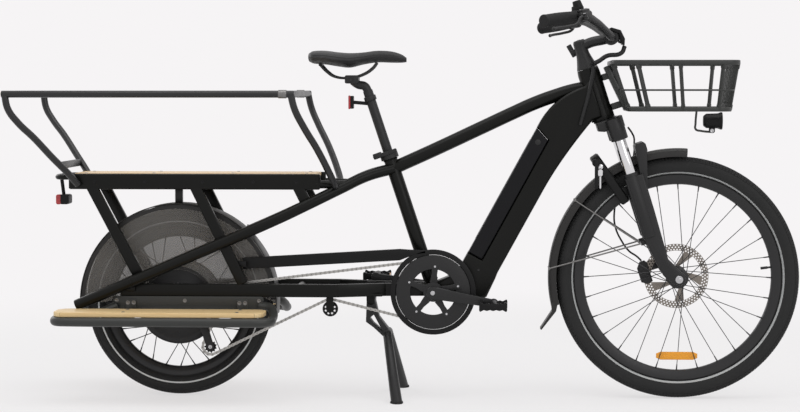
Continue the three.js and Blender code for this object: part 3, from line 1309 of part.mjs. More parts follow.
function buildFrontCaliper() {
  const body = slab(outlineShape([
    [-34, 12], [-34, 52], [-22, 68], [-8, 68], [-2 - gap, 60], [-2 - gap, 6], [-18, 2],
  ]), 34, 49, 2);
  const ear = box(v(-28, 47, 36), v(-2 - gap, 60, 60));
  const slot = box(v(-60, disc.at - 2, -20), v(40, disc.at + 2, 64));
  node('front_caliper', cut(join(body, ear), slot), 'satin', fork);
}

// The brake hose: from the caliper up behind the left leg, over the arch and on towards the head tube
const hose = {
  radius: 2.6,
  points: [
    v(-16, 42, 69.4), v(-24, 46, 84), v(-40, 58, 104), v(-50, 66, 132), v(-56, 70, 180),
    v(-46, 75, 220), v(-22, 86, 262), v(8, 91, 300), v(42, 91, 335), v(60, 84, 370), v(64, 75, 386),
    v(68, 62, 402), v(66, 50, 418), v(60, 42, 436),
  ],
};

function buildFrontHose() {
  node('front_hose', bent(hose.points, hose.radius, 6, 26), 'rubber', fork);
}

buildForkCrown();
buildForkLowers();
buildFrontFender();
buildRingLock();
buildFrontCaliper();
buildFrontHose();

// Handlebar, stem and controls
const barSize = { radius: 11.1, sides: 8, steps: 6, straight: 26 };
const clampAt = { ahead: 88, up: 687, radius: 20, halfWidth: 26 };
const gripIn = v(10, 230, 764.5);
const gripOut = v(-81, 330, 779);

function buildStem() {
  const c = clampAt;
  const foot = headTube.high;
  const column = solid(new THREE.LatheGeometry([
    [0, foot + gap], [29, foot + gap], [26, foot + 12], [18.5, foot + 42], [17.5, foot + 74],
    [14, foot + 82], [0, foot + 82],
  ].map(([r, y]) => new THREE.Vector2(r, y)), 16).rotateX(Math.PI / 2));
  const neck = bent([v(0, 0, 688), v(30, 0, 692), v(64, 0, 689), v(c.ahead, 0, c.up)], 14, 10, 4);
  const clamp = crossRod(c.ahead, c.up, -c.halfWidth, c.halfWidth, c.radius, 14);
  const latch = bar(v(-22, 18, 668), v(-30, 18, 704), 10, 14, 0);
  const latchPin = box(v(-30, 8, 676), v(-2, 24, 688));
  const barBore = rod(
    v(c.ahead, -c.halfWidth - overrun, c.up), v(c.ahead, c.halfWidth + overrun, c.up),
    barSize.radius + gap, barSize.sides);
  const column2 = rod(
    v(0, 0, headTube.high - overrun), v(0, 0, steerer.top + gap), steerer.radius + gap, headTube.sides);
  node('stem', cut(join(column, neck, clamp, latch, latchPin), barBore, column2), 'satin', fork);
}

function buildHandlebar() {
  const c = clampAt;
  const straight = gripIn.clone().add(gripIn.clone().sub(gripOut).setLength(barSize.straight));
  const inner = [
    v(c.ahead, c.halfWidth + 8, c.up), v(84, 62, 693), v(70, 106, 716), v(54, 150, 739), straight,
  ];
  const middle = rod(
    v(c.ahead, -c.halfWidth - 9, c.up), v(c.ahead, c.halfWidth + 9, c.up), barSize.radius, barSize.sides);
  const sides = [drive, off].flatMap((side) => [
    bent(inner.map((p) => onSide(side, p)), barSize.radius, barSize.sides, barSize.steps),
    rod(onSide(side, straight), onSide(side, gripOut), barSize.radius, barSize.sides),
  ]);
  node('handlebar', join(middle, ...sides), 'satin', fork);
}

const grip = { radius: 16, collar: 18, start: 8, length: 122, bulge: 17.5, end: 4 };
const controls = { radius: 17.5, length: 20 };

function buildControls() {
  const along = gripOut.clone().sub(gripIn).normalize();
  [[drive, 'right'], [off, 'left']].forEach(([side, name]) => {
    const start = onSide(side, gripIn);
    const end = onSide(side, gripOut);
    const g = grip;
    const bore = barSize.radius + 2 * gap;
    const total = g.start + g.length;
    node(`grip_${name}`, turned([
      [bore, g.start], [g.collar, g.start], [g.collar, g.start + 10],
      [g.radius, g.start + 14], [g.bulge, g.start + g.length * 0.6], [g.radius, total],
      [g.radius * 0.6, total + 8], [0, total + 8], [0, total + 6.5], [bore, total + 6.5],
      [bore, g.start],
    ], start, end, 12), 'rubber', fork);
    buildControl(side, name, start, along);
  });
}

// A brake lever's clamp with its master cylinder and switch pod, and the lever that pivots in it
function buildControl(side, name, start, along) {
  const direction = onSide(side, along);
  const ahead = onSide(side, v(0.74, 0.67, 0));
  const at = (outward, forward, up) => start.clone()
    .addScaledVector(direction, outward).addScaledVector(ahead, forward).add(v(0, 0, up));
  const cuff = rod(at(-18, 0, 0), at(6, 0, 0), controls.radius, 10);
  const cylinder = rod(at(-24, 22, 2), at(22, 26, -3), 9, 8);
  const reservoir = bar(at(-20, 20, 12), at(14, 23, 9), 20, 10, 0);
  const extras = side < 0 ? [
    bar(at(-24, -2, 21), at(2, -2, 21), 24, 16, 3), rod(at(-13, 0, 22), at(-13, 0, 44), 14, 10, 11),
  ] : [];
  const yokes = [-15, -1].flatMap((up) => [
    bar(at(22, 20, up), at(22, 42, up), 14, 4, 0), rod(at(22, 42, up - 2), at(22, 42, up + 2), 7, 8)]);
  const yokeBack = bar(at(22, 18, -8), at(22, 31, -8), 12, 18, 0);
  const body = cut(
    join(cuff, cylinder, reservoir, yokeBack, ...extras, ...yokes),
    rod(at(-40, 0, 0), at(40, 0, 0), barSize.radius + 2 * gap, barSize.sides),
    rod(at(5.8, 0, 0), at(40, 0, 0), 19, 10), rod(at(22, 42, -30), at(22, 42, 20), 3.8, 6));
  node(`control_${name}`, largest(body), 'plastic', fork);
  const pivot = join(
    rod(at(22, 42, -17.5), at(22, 42, 1.5), 3.1, 6),
    rod(at(22, 42, -12.4), at(22, 42, -3.6), 6, 8));
  const blade = bent([
    at(22, 42, -8), at(36, 41, -8.4), at(56, 38, -24), at(90, 34, -28), at(130, 33, -28), at(150, 36, -29),
  ], 4, 6, 8);
  const tip = rod(at(146, 35, -28.8), at(154, 38, -29.3), 5.4, 6);
  node(`brake_lever_${name}`, join(pivot, blade, tip), 'satin', fork);
}

function buildDisplay() {
  const c = clampAt;
  const body = slab(outlineShape([
    [c.ahead - 12, c.up + 24], [c.ahead + 8, c.up + 27], [c.ahead + 30, c.up + 12],
    [c.ahead + 34, c.up - 14], [c.ahead + 28, c.up - 30], [c.ahead + 21, c.up - 26],
    [c.ahead + 22, c.up + 4], [c.ahead, c.up + 21],
  ]), -31, 31, 3);
  const hole = crossRod(c.ahead, c.up, -c.halfWidth - overrun, c.halfWidth + overrun, c.radius + gap, 14);
  node('display', cut(body, hole), 'plastic', fork);
}

function buildCables() {
  const c = clampAt;
  node('cable_bundle', bent([
    v(c.ahead + 28, -12, c.up - 33.2), v(c.ahead + 14, -16, c.up - 48), v(60, -28, 643), v(34, -36, 636),
    v(20, -38, 634.5),
  ], 6.5, 6, 12), 'rubber', fork);
  node('frame_cable', solid(inFork(bentGeometry([
    v(14, -40.5, 627.4), v(13.6, -40.8, 619), v(5, -42, 600), v(-20, -42.3, 556), v(-44, -42.3, 518),
    v(-66, -42.3, 484),
  ], 6, 6, 10))), 'rubber');
}

buildStem();
buildHandlebar();
buildControls();
buildDisplay();
buildCables();

// Front basket on its bracket, with the lamp on a bent wire below it
const basket = {
  rimLow: 921, rimHigh: 934, floorLow: 795, floorHigh: 807, topRear: 559, topFront: 905,
  lowRear: 603, lowFront: 884, topSide: 175, lowSide: 160, wall: 12, radius: 36, rib: 10, ribThick: 6,
  slats: [-96, -48, 0, 48, 96], slatHalf: 5, wireZ: 853, wireHalf: 2.5,
};
const basketBracket = {
  top: [549, 918], foot: [606, 800], width: 60, thick: 14, arms: [590, 505], armHalf: 16, armHigh: 9,
  armReach: 70,
};
const lampWire = {
  top: [800, 800], bend: [796, 742], end: [846, 737], radius: 3, lug: [842, 741], lugHalf: 3.2,
};
const lamp = {
  rear: 818, front: 870, z: 768, earRear: 834, earFront: 850, earLow: 735, earHigh: 752, ear: 3.7,
};

// A rounded rectangle with a smaller one taken out of it
function frameShape(left, right, side, radius, wall) {
  const shape = roundedRectangle(left, right, -side, side, radius);
  const inner = radius - wall;
  shape.holes.push(roundedRectangle(
    left + wall, right - wall, wall - side, side - wall, inner, new THREE.Path()));
  return shape;
}

function buildBasket() {
  const b = basket;
  const rim = plate(
    frameShape(b.topRear, b.topFront, b.topSide, b.radius, b.wall), b.rimLow, b.rimHigh, 0, 3);
  const floor = plate(
    frameShape(b.lowRear, b.lowFront, b.lowSide, b.radius, b.wall), b.floorLow, b.floorHigh, 0, 2);
  const [ribLow, ribHigh] = [b.floorLow + 4, b.rimHigh - 5];
  const between = (low, high, share) => low + (high - low) * share;
  const ribShares = [0.2, 0.53, 0.865];
  const sideRibs = [drive, off].flatMap((side) => ribShares.map((share) => bar(
    v(between(b.lowRear, b.lowFront, share), side * (b.lowSide - b.wall * half), ribLow),
    v(between(b.topRear, b.topFront, share), side * (b.topSide - b.wall * half), ribHigh),
    b.rib, b.ribThick, 0)));
  const endShares = [-0.5, 0, 0.5];
  const endRibs = [0, 1].flatMap((end) => endShares.map((share) => {
    const inset = end ? -b.wall * half : b.wall * half;
    const lowX = (end ? b.lowFront : b.lowRear) + inset;
    const highX = (end ? b.topFront : b.topRear) + inset;
    return bar(
      v(lowX, share * b.lowSide, ribLow), v(highX, share * b.topSide, ribHigh), b.rib, b.ribThick, 0);
  }));
  const slats = b.slats.map((y) => box(
    v(b.lowRear + 4, y - b.slatHalf, b.floorLow + 2),
    v(b.lowFront - 4, y + b.slatHalf, b.floorLow + 7)));
  const shareUp = (b.wireZ - b.floorLow) / (b.rimHigh - b.floorLow);
  const wire = plate(frameShape(
    between(b.lowRear, b.topRear, shareUp) + 1, between(b.lowFront, b.topFront, shareUp) - 1,
    between(b.lowSide, b.topSide, shareUp) - 1, b.radius, 2 * b.wireHalf),
  b.wireZ - b.wireHalf, b.wireZ + b.wireHalf, 0, 2);
  const p = basketBracket;
  const bracketPlate = bar(v(p.top[0], 0, p.top[1]), v(p.foot[0], 0, p.foot[1]), p.width, p.thick, 2);
  const arms = p.arms.map((along) => solid(inFork(boxGeometry(
    v(headTube.radius - 4, -p.armHalf, along - p.armHigh),
    v(p.armReach, p.armHalf, along + p.armHigh)))));
  const w = lampWire;
  const wireParts = [
    rod(v(w.top[0], 0, w.top[1]), v(w.bend[0], 0, w.bend[1]), w.radius, 8),
    rod(v(w.bend[0], 0, w.bend[1]), v(w.end[0], 0, w.end[1]), w.radius, 8),
    crossRod(w.bend[0], w.bend[1], -w.radius, w.radius, w.radius + 0.4, 8),
    crossRod(w.lug[0], w.lug[1], -w.lugHalf, w.lugHalf, 6, 12),
  ];
  const whole = join(
    rim, floor, wire, bracketPlate, ...wireParts, ...arms, ...slats, ...sideRibs, ...endRibs);
  node('basket', largest(cut(whole, headCutter(), flareCutter())), 'satin');
}

const flareCutter = () => solid(inFork(rodGeometry(
  v(0, 0, headTube.low - overrun), v(0, 0, headTube.low + 2 * headTube.flareHeight),
  headTube.flare + gap, headTube.sides)));

function buildHeadlight() {
  const body = turned([
    [0, 0], [16, 0], [20, 8], [21, 40], [24, 46], [24, 52], [20, 52], [18, 48], [0, 48],
  ], v(lamp.rear, 0, lamp.z), v(lamp.front, 0, lamp.z), 14);
  const earIn = lampWire.lugHalf + gap;
  const ears = [drive, off].map((side) => sideBox(
    side, lamp.earRear, lamp.earFront, earIn, earIn + lamp.ear, lamp.earLow, lamp.earHigh));
  node('headlight', join(body, ...ears), 'plastic');
}

const brakeBody = { rear: -716, low: 262, high: 304, corner: 6, inner: 46, slotHalf: 2.4 };

function buildRearCaliper() {
  const c = brakeBody;
  const front = rearAxle.x - dropout.halfLength - gap;
  const body = slab(outlineShape([
    [c.rear, c.low], [c.rear, c.high - 2 * c.corner], [c.rear + 2 * c.corner, c.high],
    [front + 2 * c.corner, c.high], [front + 2 * c.corner, c.high - 2 * c.corner - 2],
    [front, c.high - 3 * c.corner], [front, c.low],
  ]), c.inner, dropout.inner - gap, 2);
  const slot = box(
    v(c.rear + 5, rearHub.rotorAt - c.slotHalf, c.low - 2 * overrun),
    v(front + 4 * overrun, rearHub.rotorAt + c.slotHalf, c.high + 2 * overrun));
  node('rear_caliper', cut(body, slot), 'satin');
}

buildBasket();
buildHeadlight();
buildRearCaliper();

export default bike;
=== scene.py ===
import bmesh
import bpy
from math import asin, atan2, cos, pi, radians, sin, sqrt
from mathutils import Matrix, Vector


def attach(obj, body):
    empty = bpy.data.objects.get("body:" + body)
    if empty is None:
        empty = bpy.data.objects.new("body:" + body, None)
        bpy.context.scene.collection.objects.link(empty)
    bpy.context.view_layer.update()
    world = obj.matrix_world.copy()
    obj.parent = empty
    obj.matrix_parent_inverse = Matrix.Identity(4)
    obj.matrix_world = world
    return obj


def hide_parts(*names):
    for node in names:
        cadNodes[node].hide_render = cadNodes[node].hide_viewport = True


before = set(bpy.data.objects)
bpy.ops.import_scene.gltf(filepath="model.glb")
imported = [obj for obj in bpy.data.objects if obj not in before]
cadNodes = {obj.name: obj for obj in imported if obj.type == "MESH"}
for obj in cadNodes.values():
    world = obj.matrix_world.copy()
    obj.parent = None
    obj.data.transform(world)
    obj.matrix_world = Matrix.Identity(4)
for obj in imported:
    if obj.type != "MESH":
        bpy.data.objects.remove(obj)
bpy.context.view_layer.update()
print("frame loaded:", len(cadNodes), "nodes")


# Camera, floor and light
cameraValues = {
    "place": (0.3151, -6.0, 0.8534), "look": (-0.0557, 0.997, -0.0537), "lens": 97.15, "sensor": 36,
}
studio = {
    "background": (0.922, 0.905, 0.913), "world": 0.72, "floorColor": 0.8, "floorSize": 60,
    "floorHeight": -0.0005, "shadowNear": 0.66, "fadeFrom": 1.6, "fadeTo": 3.4,
}
lampValues = [
    {"name": "overhead", "place": (0.2, -0.6, 4.2), "aim": (0, 0, 0.4), "size": (5.0, 2.2), "energy": 60},
    {"name": "sideKey", "place": (2.8, -4.4, 2.6), "aim": (0.1, 0, 0.5), "size": (2.6, 2.0), "energy": 30},
    {"name": "rearFill", "place": (-3.6, 3.6, 2.2), "aim": (0, 0, 0.5), "size": (2.6, 2.0), "energy": 26},
]


def linkObject(name, data):
    made = bpy.data.objects.new(name, data)
    bpy.context.scene.collection.objects.link(made)
    return made


def lookAlong(thing, direction):
    thing.rotation_euler = Vector(direction).to_track_quat("-Z", "Y").to_euler()


def addNode(tree, kind, inputs={}, **settings):
    # a shader node whose inputs are values, or the sockets that feed them
    made = tree.nodes.new("ShaderNode" + kind)
    for name, value in settings.items():
        setattr(made, name, value)
    for label, value in inputs.items():
        if isinstance(value, bpy.types.NodeSocket):
            tree.links.new(value, made.inputs[label])
        else:
            made.inputs[label].default_value = value
    return made


def mathNode(tree, operation, *values):
    return addNode(tree, "Math", dict(enumerate(values)), operation=operation).outputs[0]


def seenRays(tree):
    # one for the rays that show the stage to the camera, straight, in a reflection or through a pane
    rays = addNode(tree, "LightPath").outputs
    straight = mathNode(tree, "MAXIMUM", rays["Is Camera Ray"], rays["Is Glossy Ray"])
    return mathNode(tree, "MAXIMUM", straight, rays["Is Transmission Ray"])


def clearedTree(holder):
    holder.use_nodes = True
    holder.node_tree.nodes.clear()
    return holder.node_tree


def mixShaders(tree, share, first, second):
    return addNode(tree, "MixShader", {0: share, 1: first.outputs[0], 2: second.outputs[0]}).outputs[0]


def studioCamera():
    data = bpy.data.cameras.new("camera")
    data.lens = cameraValues["lens"]
    data.sensor_width = cameraValues["sensor"]
    camera = linkObject("camera", data)
    camera.location = cameraValues["place"]
    lookAlong(camera, cameraValues["look"])
    bpy.context.scene.camera = camera
    bpy.context.scene.view_settings.view_transform = "Standard"


def studioWorld():
    world = bpy.data.worlds.new("studio")
    bpy.context.scene.world = world
    tree = clearedTree(world)
    shown = addNode(tree, "Background", {"Color": (*studio["background"], 1)})
    lighting = addNode(tree, "Background", {"Color": (1, 1, 1, 1), "Strength": studio["world"]})
    addNode(tree, "OutputWorld", {0: mixShaders(tree, seenRays(tree), lighting, shown)})


def studioFloor():
    bm = bmesh.new()
    bmesh.ops.create_grid(bm, x_segments=1, y_segments=1, size=studio["floorSize"])
    mesh = bpy.data.meshes.new("floor")
    bm.to_mesh(mesh)
    bm.free()
    floor = linkObject("floor", mesh)
    floor.location.z = studio["floorHeight"]
    material = bpy.data.materials.new("paleFloor")
    tree = clearedTree(material)
    place = addNode(tree, "TexCoord").outputs["Object"]
    reach = addNode(tree, "VectorMath", {0: place}, operation="LENGTH").outputs["Value"]
    limits = {"From Min": studio["fadeFrom"], "From Max": studio["fadeTo"], "To Min": studio["shadowNear"],
              "To Max": 1}
    fade = addNode(tree, "MapRange", {"Value": reach, **limits}, interpolation_type="SMOOTHSTEP").outputs[0]
    share = mathNode(tree, "MULTIPLY", seenRays(tree), fade)
    diffuse = addNode(tree, "BsdfDiffuse", {"Color": (studio["floorColor"],) * 3 + (1,)})
    glow = addNode(tree, "Emission", {"Color": (*studio["background"], 1)})
    addNode(tree, "OutputMaterial", {"Surface": mixShaders(tree, share, diffuse, glow)})
    mesh.materials.append(material)


def studioLamp(values):
    light = bpy.data.lights.new(values["name"], "AREA")
    light.shape = "RECTANGLE"
    light.size, light.size_y = values["size"]
    light.energy = values["energy"]
    lamp = linkObject(values["name"], light)
    lamp.location = values["place"]
    lookAlong(lamp, Vector(values["aim"]) - lamp.location)


studioCamera()
studioWorld()
studioFloor()
for values in lampValues:
    studioLamp(values)
print("studio ready")


# Shared effects: each group takes a vector, colors and numbers, and gives a color, a roughness and a height
effectNumbers = {
    "broad": 9, "broadDetail": 5, "dust": (0.42, 0.4, 0.37, 1), "toneToRough": 0.5, "dustToRough": 2.0,
    "stretch": (1, 1, 0.08), "streakToRough": 0.6, "fibre": (14, 700, 260), "stripShift": 7.3,
    "seam": (0.1, 0.05, 0.02, 1), "pebbleBroad": 14, "crease": 0.22,
}


def newGroup(name, colors, numbers):
    tree = bpy.data.node_groups.new(name, "ShaderNodeTree")
    for kind, labels in (("Vector", ["Vector"]), ("Color", colors), ("Float", numbers)):
        for label in labels:
            tree.interface.new_socket(label, in_out="INPUT", socket_type="NodeSocket" + kind)
    for label, kind in (("Color", "Color"), ("Roughness", "Float"), ("Height", "Float")):
        tree.interface.new_socket(label, in_out="OUTPUT", socket_type="NodeSocket" + kind)
    return tree, tree.nodes.new("NodeGroupInput").outputs


def closeGroup(tree, color, roughness, height):
    result = tree.nodes.new("NodeGroupOutput").inputs
    for label, value in (("Color", color), ("Roughness", roughness), ("Height", height)):
        tree.links.new(value, result[label])
    return tree


def mixColor(tree, factor, first, second):
    return addNode(tree, "Mix", {0: factor, 6: first, 7: second}, data_type="RGBA").outputs[2]


def scaleColor(tree, color, factor):
    return addNode(tree, "VectorMath", {0: color, "Scale": factor}, operation="SCALE").outputs[0]


def sumOf(tree, base, value, weight):
    return mathNode(tree, "ADD", base, mathNode(tree, "MULTIPLY", value, weight))


def toneOf(tree, noise, spread):
    return mathNode(tree, "MULTIPLY", mathNode(tree, "SUBTRACT", noise, 0.5), spread)


def paintGrainGroup():
    # fine orange-peel, broad tone variation and a little pale dust that settles on what faces up
    n = effectNumbers
    tree, given = newGroup("paintGrain", ["Color"], ["Scale", "Spread", "Roughness", "Dust"])
    noise = {"Vector": given["Vector"], "Scale": n["broad"], "Detail": n["broadDetail"]}
    broad = addNode(tree, "TexNoise", noise).outputs["Fac"]
    noise = {"Vector": given["Vector"], "Scale": given["Scale"], "Detail": 2}
    fine = addNode(tree, "TexNoise", noise).outputs["Fac"]
    tone = toneOf(tree, broad, given["Spread"])
    facing = addNode(tree, "SeparateXYZ", {0: addNode(tree, "NewGeometry").outputs["Normal"]}).outputs["Z"]
    patchy = mathNode(tree, "MULTIPLY", mathNode(tree, "MAXIMUM", facing, 0.0), broad)
    film = mathNode(tree, "MULTIPLY", patchy, given["Dust"])
    shaded = scaleColor(tree, given["Color"], mathNode(tree, "ADD", tone, 1))
    worn = sumOf(tree, given["Roughness"], tone, n["toneToRough"])
    return closeGroup(tree, mixColor(tree, film, shaded, n["dust"]), sumOf(tree, worn, film, n["dustToRough"]),
                      fine)


def brushedGroup():
    # drawn or turned metal: streaks stretched along one direction of the vector it is given
    n = effectNumbers
    tree, given = newGroup("brushed", ["Color"], ["Scale", "Spread", "Roughness"])
    stretch = addNode(tree, "Mapping", {"Vector": given["Vector"], "Scale": n["stretch"]}).outputs[0]
    noise = {"Vector": stretch, "Scale": given["Scale"], "Detail": 4}
    streaks = addNode(tree, "TexNoise", noise).outputs["Fac"]
    tone = toneOf(tree, streaks, given["Spread"])
    shaded = scaleColor(tree, given["Color"], mathNode(tree, "ADD", tone, 1))
    return closeGroup(tree, shaded, sumOf(tree, given["Roughness"], tone, n["streakToRough"]), streaks)


def bambooGroup():
    # glued strips with long fibres and a thin dark line at each joint
    n = effectNumbers
    tree, given = newGroup("bamboo", ["Light", "Dark"], ["Strip", "Roughness"])
    split = addNode(tree, "SeparateXYZ", {0: given["Vector"]}).outputs
    across = mathNode(tree, "DIVIDE", split["Y"], given["Strip"])
    strip = mathNode(tree, "FLOOR", across)
    along, beside, upward = [mathNode(tree, "MULTIPLY", split[axis], n["fibre"][i]) for i, axis in enumerate("XYZ")]
    place = {"X": sumOf(tree, along, strip, n["stripShift"]), "Y": beside, "Z": upward}
    shifted = addNode(tree, "CombineXYZ", place).outputs[0]
    noise = {"Vector": shifted, "Scale": 1, "Detail": 6, "Roughness": 0.65}
    fibres = addNode(tree, "TexNoise", noise).outputs["Fac"]
    each = addNode(tree, "TexWhiteNoise", {"W": strip}, noise_dimensions="1D").outputs["Value"]
    sharp = addNode(tree, "MapRange", {"Value": fibres, "From Min": 0.36, "From Max": 0.68}).outputs[0]
    mixed = mathNode(tree, "ADD", mathNode(tree, "MULTIPLY", sharp, 0.6), mathNode(tree, "MULTIPLY", each, 0.4))
    colored = mixColor(tree, mixed, given["Light"], given["Dark"])
    centred = mathNode(tree, "ABSOLUTE", mathNode(tree, "SUBTRACT", mathNode(tree, "FRACT", across), 0.5))
    limits = {"Value": centred, "From Min": 0.465, "From Max": 0.5, "To Max": 0.55}
    seam = addNode(tree, "MapRange", limits).outputs[0]
    height = mathNode(tree, "SUBTRACT", mathNode(tree, "MULTIPLY", sharp, 0.35), seam)
    return closeGroup(tree, mixColor(tree, seam, colored, n["seam"]), sumOf(tree, given["Roughness"], sharp, 0.15),
                      height)


def pebbleGroup():
    # leather or moulded rubber: small cells with creases between them, the creases painted darker as painted shade,
    # and a random tone over all
    n = effectNumbers
    tree, given = newGroup("pebble", ["Color"], ["Scale", "Spread", "Roughness"])
    cells = addNode(tree, "TexVoronoi", {}, feature="DISTANCE_TO_EDGE")
    tree.links.new(given["Vector"], cells.inputs["Vector"])
    tree.links.new(given["Scale"], cells.inputs["Scale"])
    broad = addNode(tree, "TexNoise", {"Vector": given["Vector"], "Scale": n["pebbleBroad"]}).outputs["Fac"]
    limits = {"Value": cells.outputs["Distance"], "From Max": n["crease"]}
    crease = addNode(tree, "MapRange", limits).outputs[0]
    tone = toneOf(tree, broad, given["Spread"])
    # painted shade: the colour is darkened in the creases between the cells, besides the random tone
    shade = mathNode(tree, "ADD", mathNode(tree, "MULTIPLY", crease, 0.18), mathNode(tree, "ADD", tone, 0.84))
    return closeGroup(tree, scaleColor(tree, given["Color"], shade), sumOf(tree, given["Roughness"], tone, 0.4),
                      crease)


effects = {"paint": paintGrainGroup(), "brushed": brushedGroup(), "bamboo": bambooGroup(), "pebble": pebbleGroup()}
effectInputs = {
    "paint": ("Color", "Scale", "Spread", "Roughness", "Dust"),
    "brushed": ("Color", "Scale", "Spread", "Roughness"),
    "pebble": ("Color", "Scale", "Spread", "Roughness"), "bamboo": ("Light", "Dark", "Strip", "Roughness"),
}

# name: effect, strength of its bump, the effect's inputs in their order, and what else differs
looks = {
    "framePaint": ("paint", 0.12, ((0.0036, 0.0038, 0.003), 1400, 0.25, 0.33, 0.012), {"specular": 0.19}),
    "satinBlack": ("paint", 0.16, ((0.0086, 0.0086, 0.0092), 1800, 0.3, 0.44, 0.025), {"specular": 0.42}),
    "railBlack": ("paint", 0.14, ((0.013, 0.013, 0.0138), 1600, 0.3, 0.36, 0.02), {"specular": 0.46}),
    "footBlack": ("paint", 0.14, ((0.027, 0.0285, 0.0265), 1600, 0.3, 0.42, 0.03), {"specular": 0.46}),
    "mouldedPlastic": ("pebble", 0.16, ((0.006, 0.006, 0.0062), 1500, 0.3, 0.46),
                       {"specular": 0.22, "depth": 0.0002}),
    "fenderPlastic": ("paint", 0.08, ((0.0125, 0.0115, 0.011), 900, 0.4, 0.42, 0.08), {"specular": 0.4}),
    "batteryPlastic": ("paint", 0.06, ((0.0032, 0.0032, 0.0046), 1200, 0.2, 0.3, 0.0), {"specular": 0.2}),
    "gripRubber": ("pebble", 0.35, ((0.017, 0.017, 0.0175), 900, 0.3, 0.72), {"specular": 0.3}),
    "hoseRubber": ("pebble", 0.1, ((0.011, 0.011, 0.0115), 1300, 0.2, 0.5), {"specular": 0.35}),
    "tyreRubber": ("pebble", 0.25, ((0.023, 0.023, 0.0232), 420, 0.5, 0.78), {"specular": 0.28}),
    "reflectiveBand": ("paint", 0.05, ((0.62, 0.63, 0.63), 900, 0.15, 0.35, 0.1), {}),
    "rimBlack": ("brushed", 0.05, ((0.012, 0.012, 0.013), 300, 0.5, 0.38), {"specular": 0.42}),
    "spokeSteel": ("brushed", 0.05, ((0.05, 0.05, 0.052), 600, 0.6, 0.35), {"metal": 0.6}),
    "chainSteel": ("brushed", 0.1, ((0.42, 0.41, 0.39), 500, 0.7, 0.34), {"metal": 0.9}),
    "toolSteel": ("brushed", 0.1, ((0.2, 0.195, 0.19), 500, 0.6, 0.36), {"metal": 0.85}),
    "discSteel": ("brushed", 0.12, ((0.24, 0.215, 0.19), 420, 0.6, 0.34),
                  {"metal": 0.9, "shift": (-0.7495, 0, -0.335)}),
    "stanchionChrome": ("brushed", 0.02, ((0.7, 0.7, 0.71), 900, 0.08, 0.1),
                        {"metal": 1.0, "turn": (0, radians(17.7), 0)}),
    "boltSteel": ("brushed", 0.05, ((0.5, 0.5, 0.51), 800, 0.4, 0.28), {"metal": 1.0}),
    "deckBamboo": ("bamboo", 0.3, ((0.76, 0.56, 0.32), (0.6, 0.4, 0.19), 0.019, 0.42),
                   {"coat": 0.15, "coatRough": 0.25, "depth": 0.0004}),
    "footBamboo": ("bamboo", 0.3, ((0.86, 0.66, 0.36), (0.72, 0.47, 0.2), 0.014, 0.42),
                   {"coat": 0.15, "coatRough": 0.25, "depth": 0.0004}),
    "saddleCover": ("pebble", 0.3, ((0.0135, 0.0135, 0.0142), 620, 0.35, 0.5), {"specular": 0.42, "depth": 0.0004}),
    "seamThread": ("pebble", 0.3, ((0.02, 0.02, 0.02), 2200, 0.3, 0.6), {}),
    "amberLens": ("brushed", 0.5, ((0.9, 0.36, 0.006), 240, 0.5, 0.2),
                  {"coat": 0.3, "coatRough": 0.08, "depth": 0.0006, "turn": (0, pi / 2, 0)}),
    "redLens": ("brushed", 0.5, ((0.42, 0.008, 0.014), 300, 0.4, 0.18),
                {"coat": 0.6, "coatRough": 0.08, "depth": 0.0006}),
    "clearLens": ("brushed", 0.4, ((0.75, 0.77, 0.8), 260, 0.2, 0.12),
                  {"metal": 0.4, "coat": 0.8, "coatRough": 0.05, "depth": 0.0005}),
    "screenGlass": ("paint", 0.0, ((0.008, 0.009, 0.011), 600, 0.1, 0.1, 0.02), {"coat": 0.5, "coatRough": 0.04}),
    "smokedGuard": ("paint", 0.0, ((0.2, 0.188, 0.174), 40, 0.12, 0.16, 0.03), {"alpha": 0.44, "specular": 0.4}),
}
shaderInputs = {
    "specular": "Specular IOR Level", "metal": "Metallic", "coat": "Coat Weight", "coatRough": "Coat Roughness",
    "alpha": "Alpha",
}
bumpDepth = 0.0003


def makeMaterial(name, effect, strength, values, extra):
    material = bpy.data.materials.new(name)
    material.use_nodes = True
    tree = material.node_tree
    shader = tree.nodes["Principled BSDF"].inputs
    place = {"Vector": addNode(tree, "TexCoord").outputs["Object"], "Location": extra.get("shift", (0, 0, 0)),
             "Rotation": extra.get("turn", (0, 0, 0))}
    group = addNode(tree, "Group", {}, node_tree=effects[effect])
    tree.links.new(addNode(tree, "Mapping", place).outputs[0], group.inputs["Vector"])
    for label, value in zip(effectInputs[effect], values):
        group.inputs[label].default_value = (*value, 1) if isinstance(value, tuple) else value
    tree.links.new(group.outputs["Color"], shader["Base Color"])
    tree.links.new(group.outputs["Roughness"], shader["Roughness"])
    relief = {"Strength": strength, "Distance": extra.get("depth", bumpDepth), "Height": group.outputs["Height"]}
    tree.links.new(addNode(tree, "Bump", relief).outputs[0], shader["Normal"])
    for label in shaderInputs.keys() & extra.keys():
        shader[shaderInputs[label]].default_value = extra[label]
    return material


paint = {name: makeMaterial(name, *look) for name, look in looks.items()}
print("materials ready:", len(paint))


# Modelling helpers: sizes are in millimetres where a value goes through mm, and in metres elsewhere
merged = 2e-6


def mm(x, y, z):
    return Vector((x, y, z)) * 0.001


def spread(side, near, far):
    # two distances from the middle plane, as low and high Y on one side of the bike
    return sorted((side * near, side * far))


def sideAt(place, across=0):
    # a place in the side view, as X and Z, at a distance from the middle plane
    return mm(place[0], across, place[1])


def polar(centre, radius, angle):
    return centre[0] + radius * cos(angle), centre[1] + radius * sin(angle)


def finishPiece(bm, name, body, finish, replaced=(), smoothAngle=35, merge=True):
    if merge:
        bmesh.ops.remove_doubles(bm, verts=bm.verts, dist=1e-6)
    bmesh.ops.recalc_face_normals(bm, faces=bm.faces)
    mesh = bpy.data.meshes.new(name)
    bm.to_mesh(mesh)
    bm.free()
    mesh.materials.append(paint[finish])
    mesh.shade_smooth()
    mesh.set_sharp_from_angle(angle=radians(smoothAngle))
    piece = linkObject(name, mesh)
    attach(piece, body)
    if replaced:
        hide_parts(*replaced)
    return piece


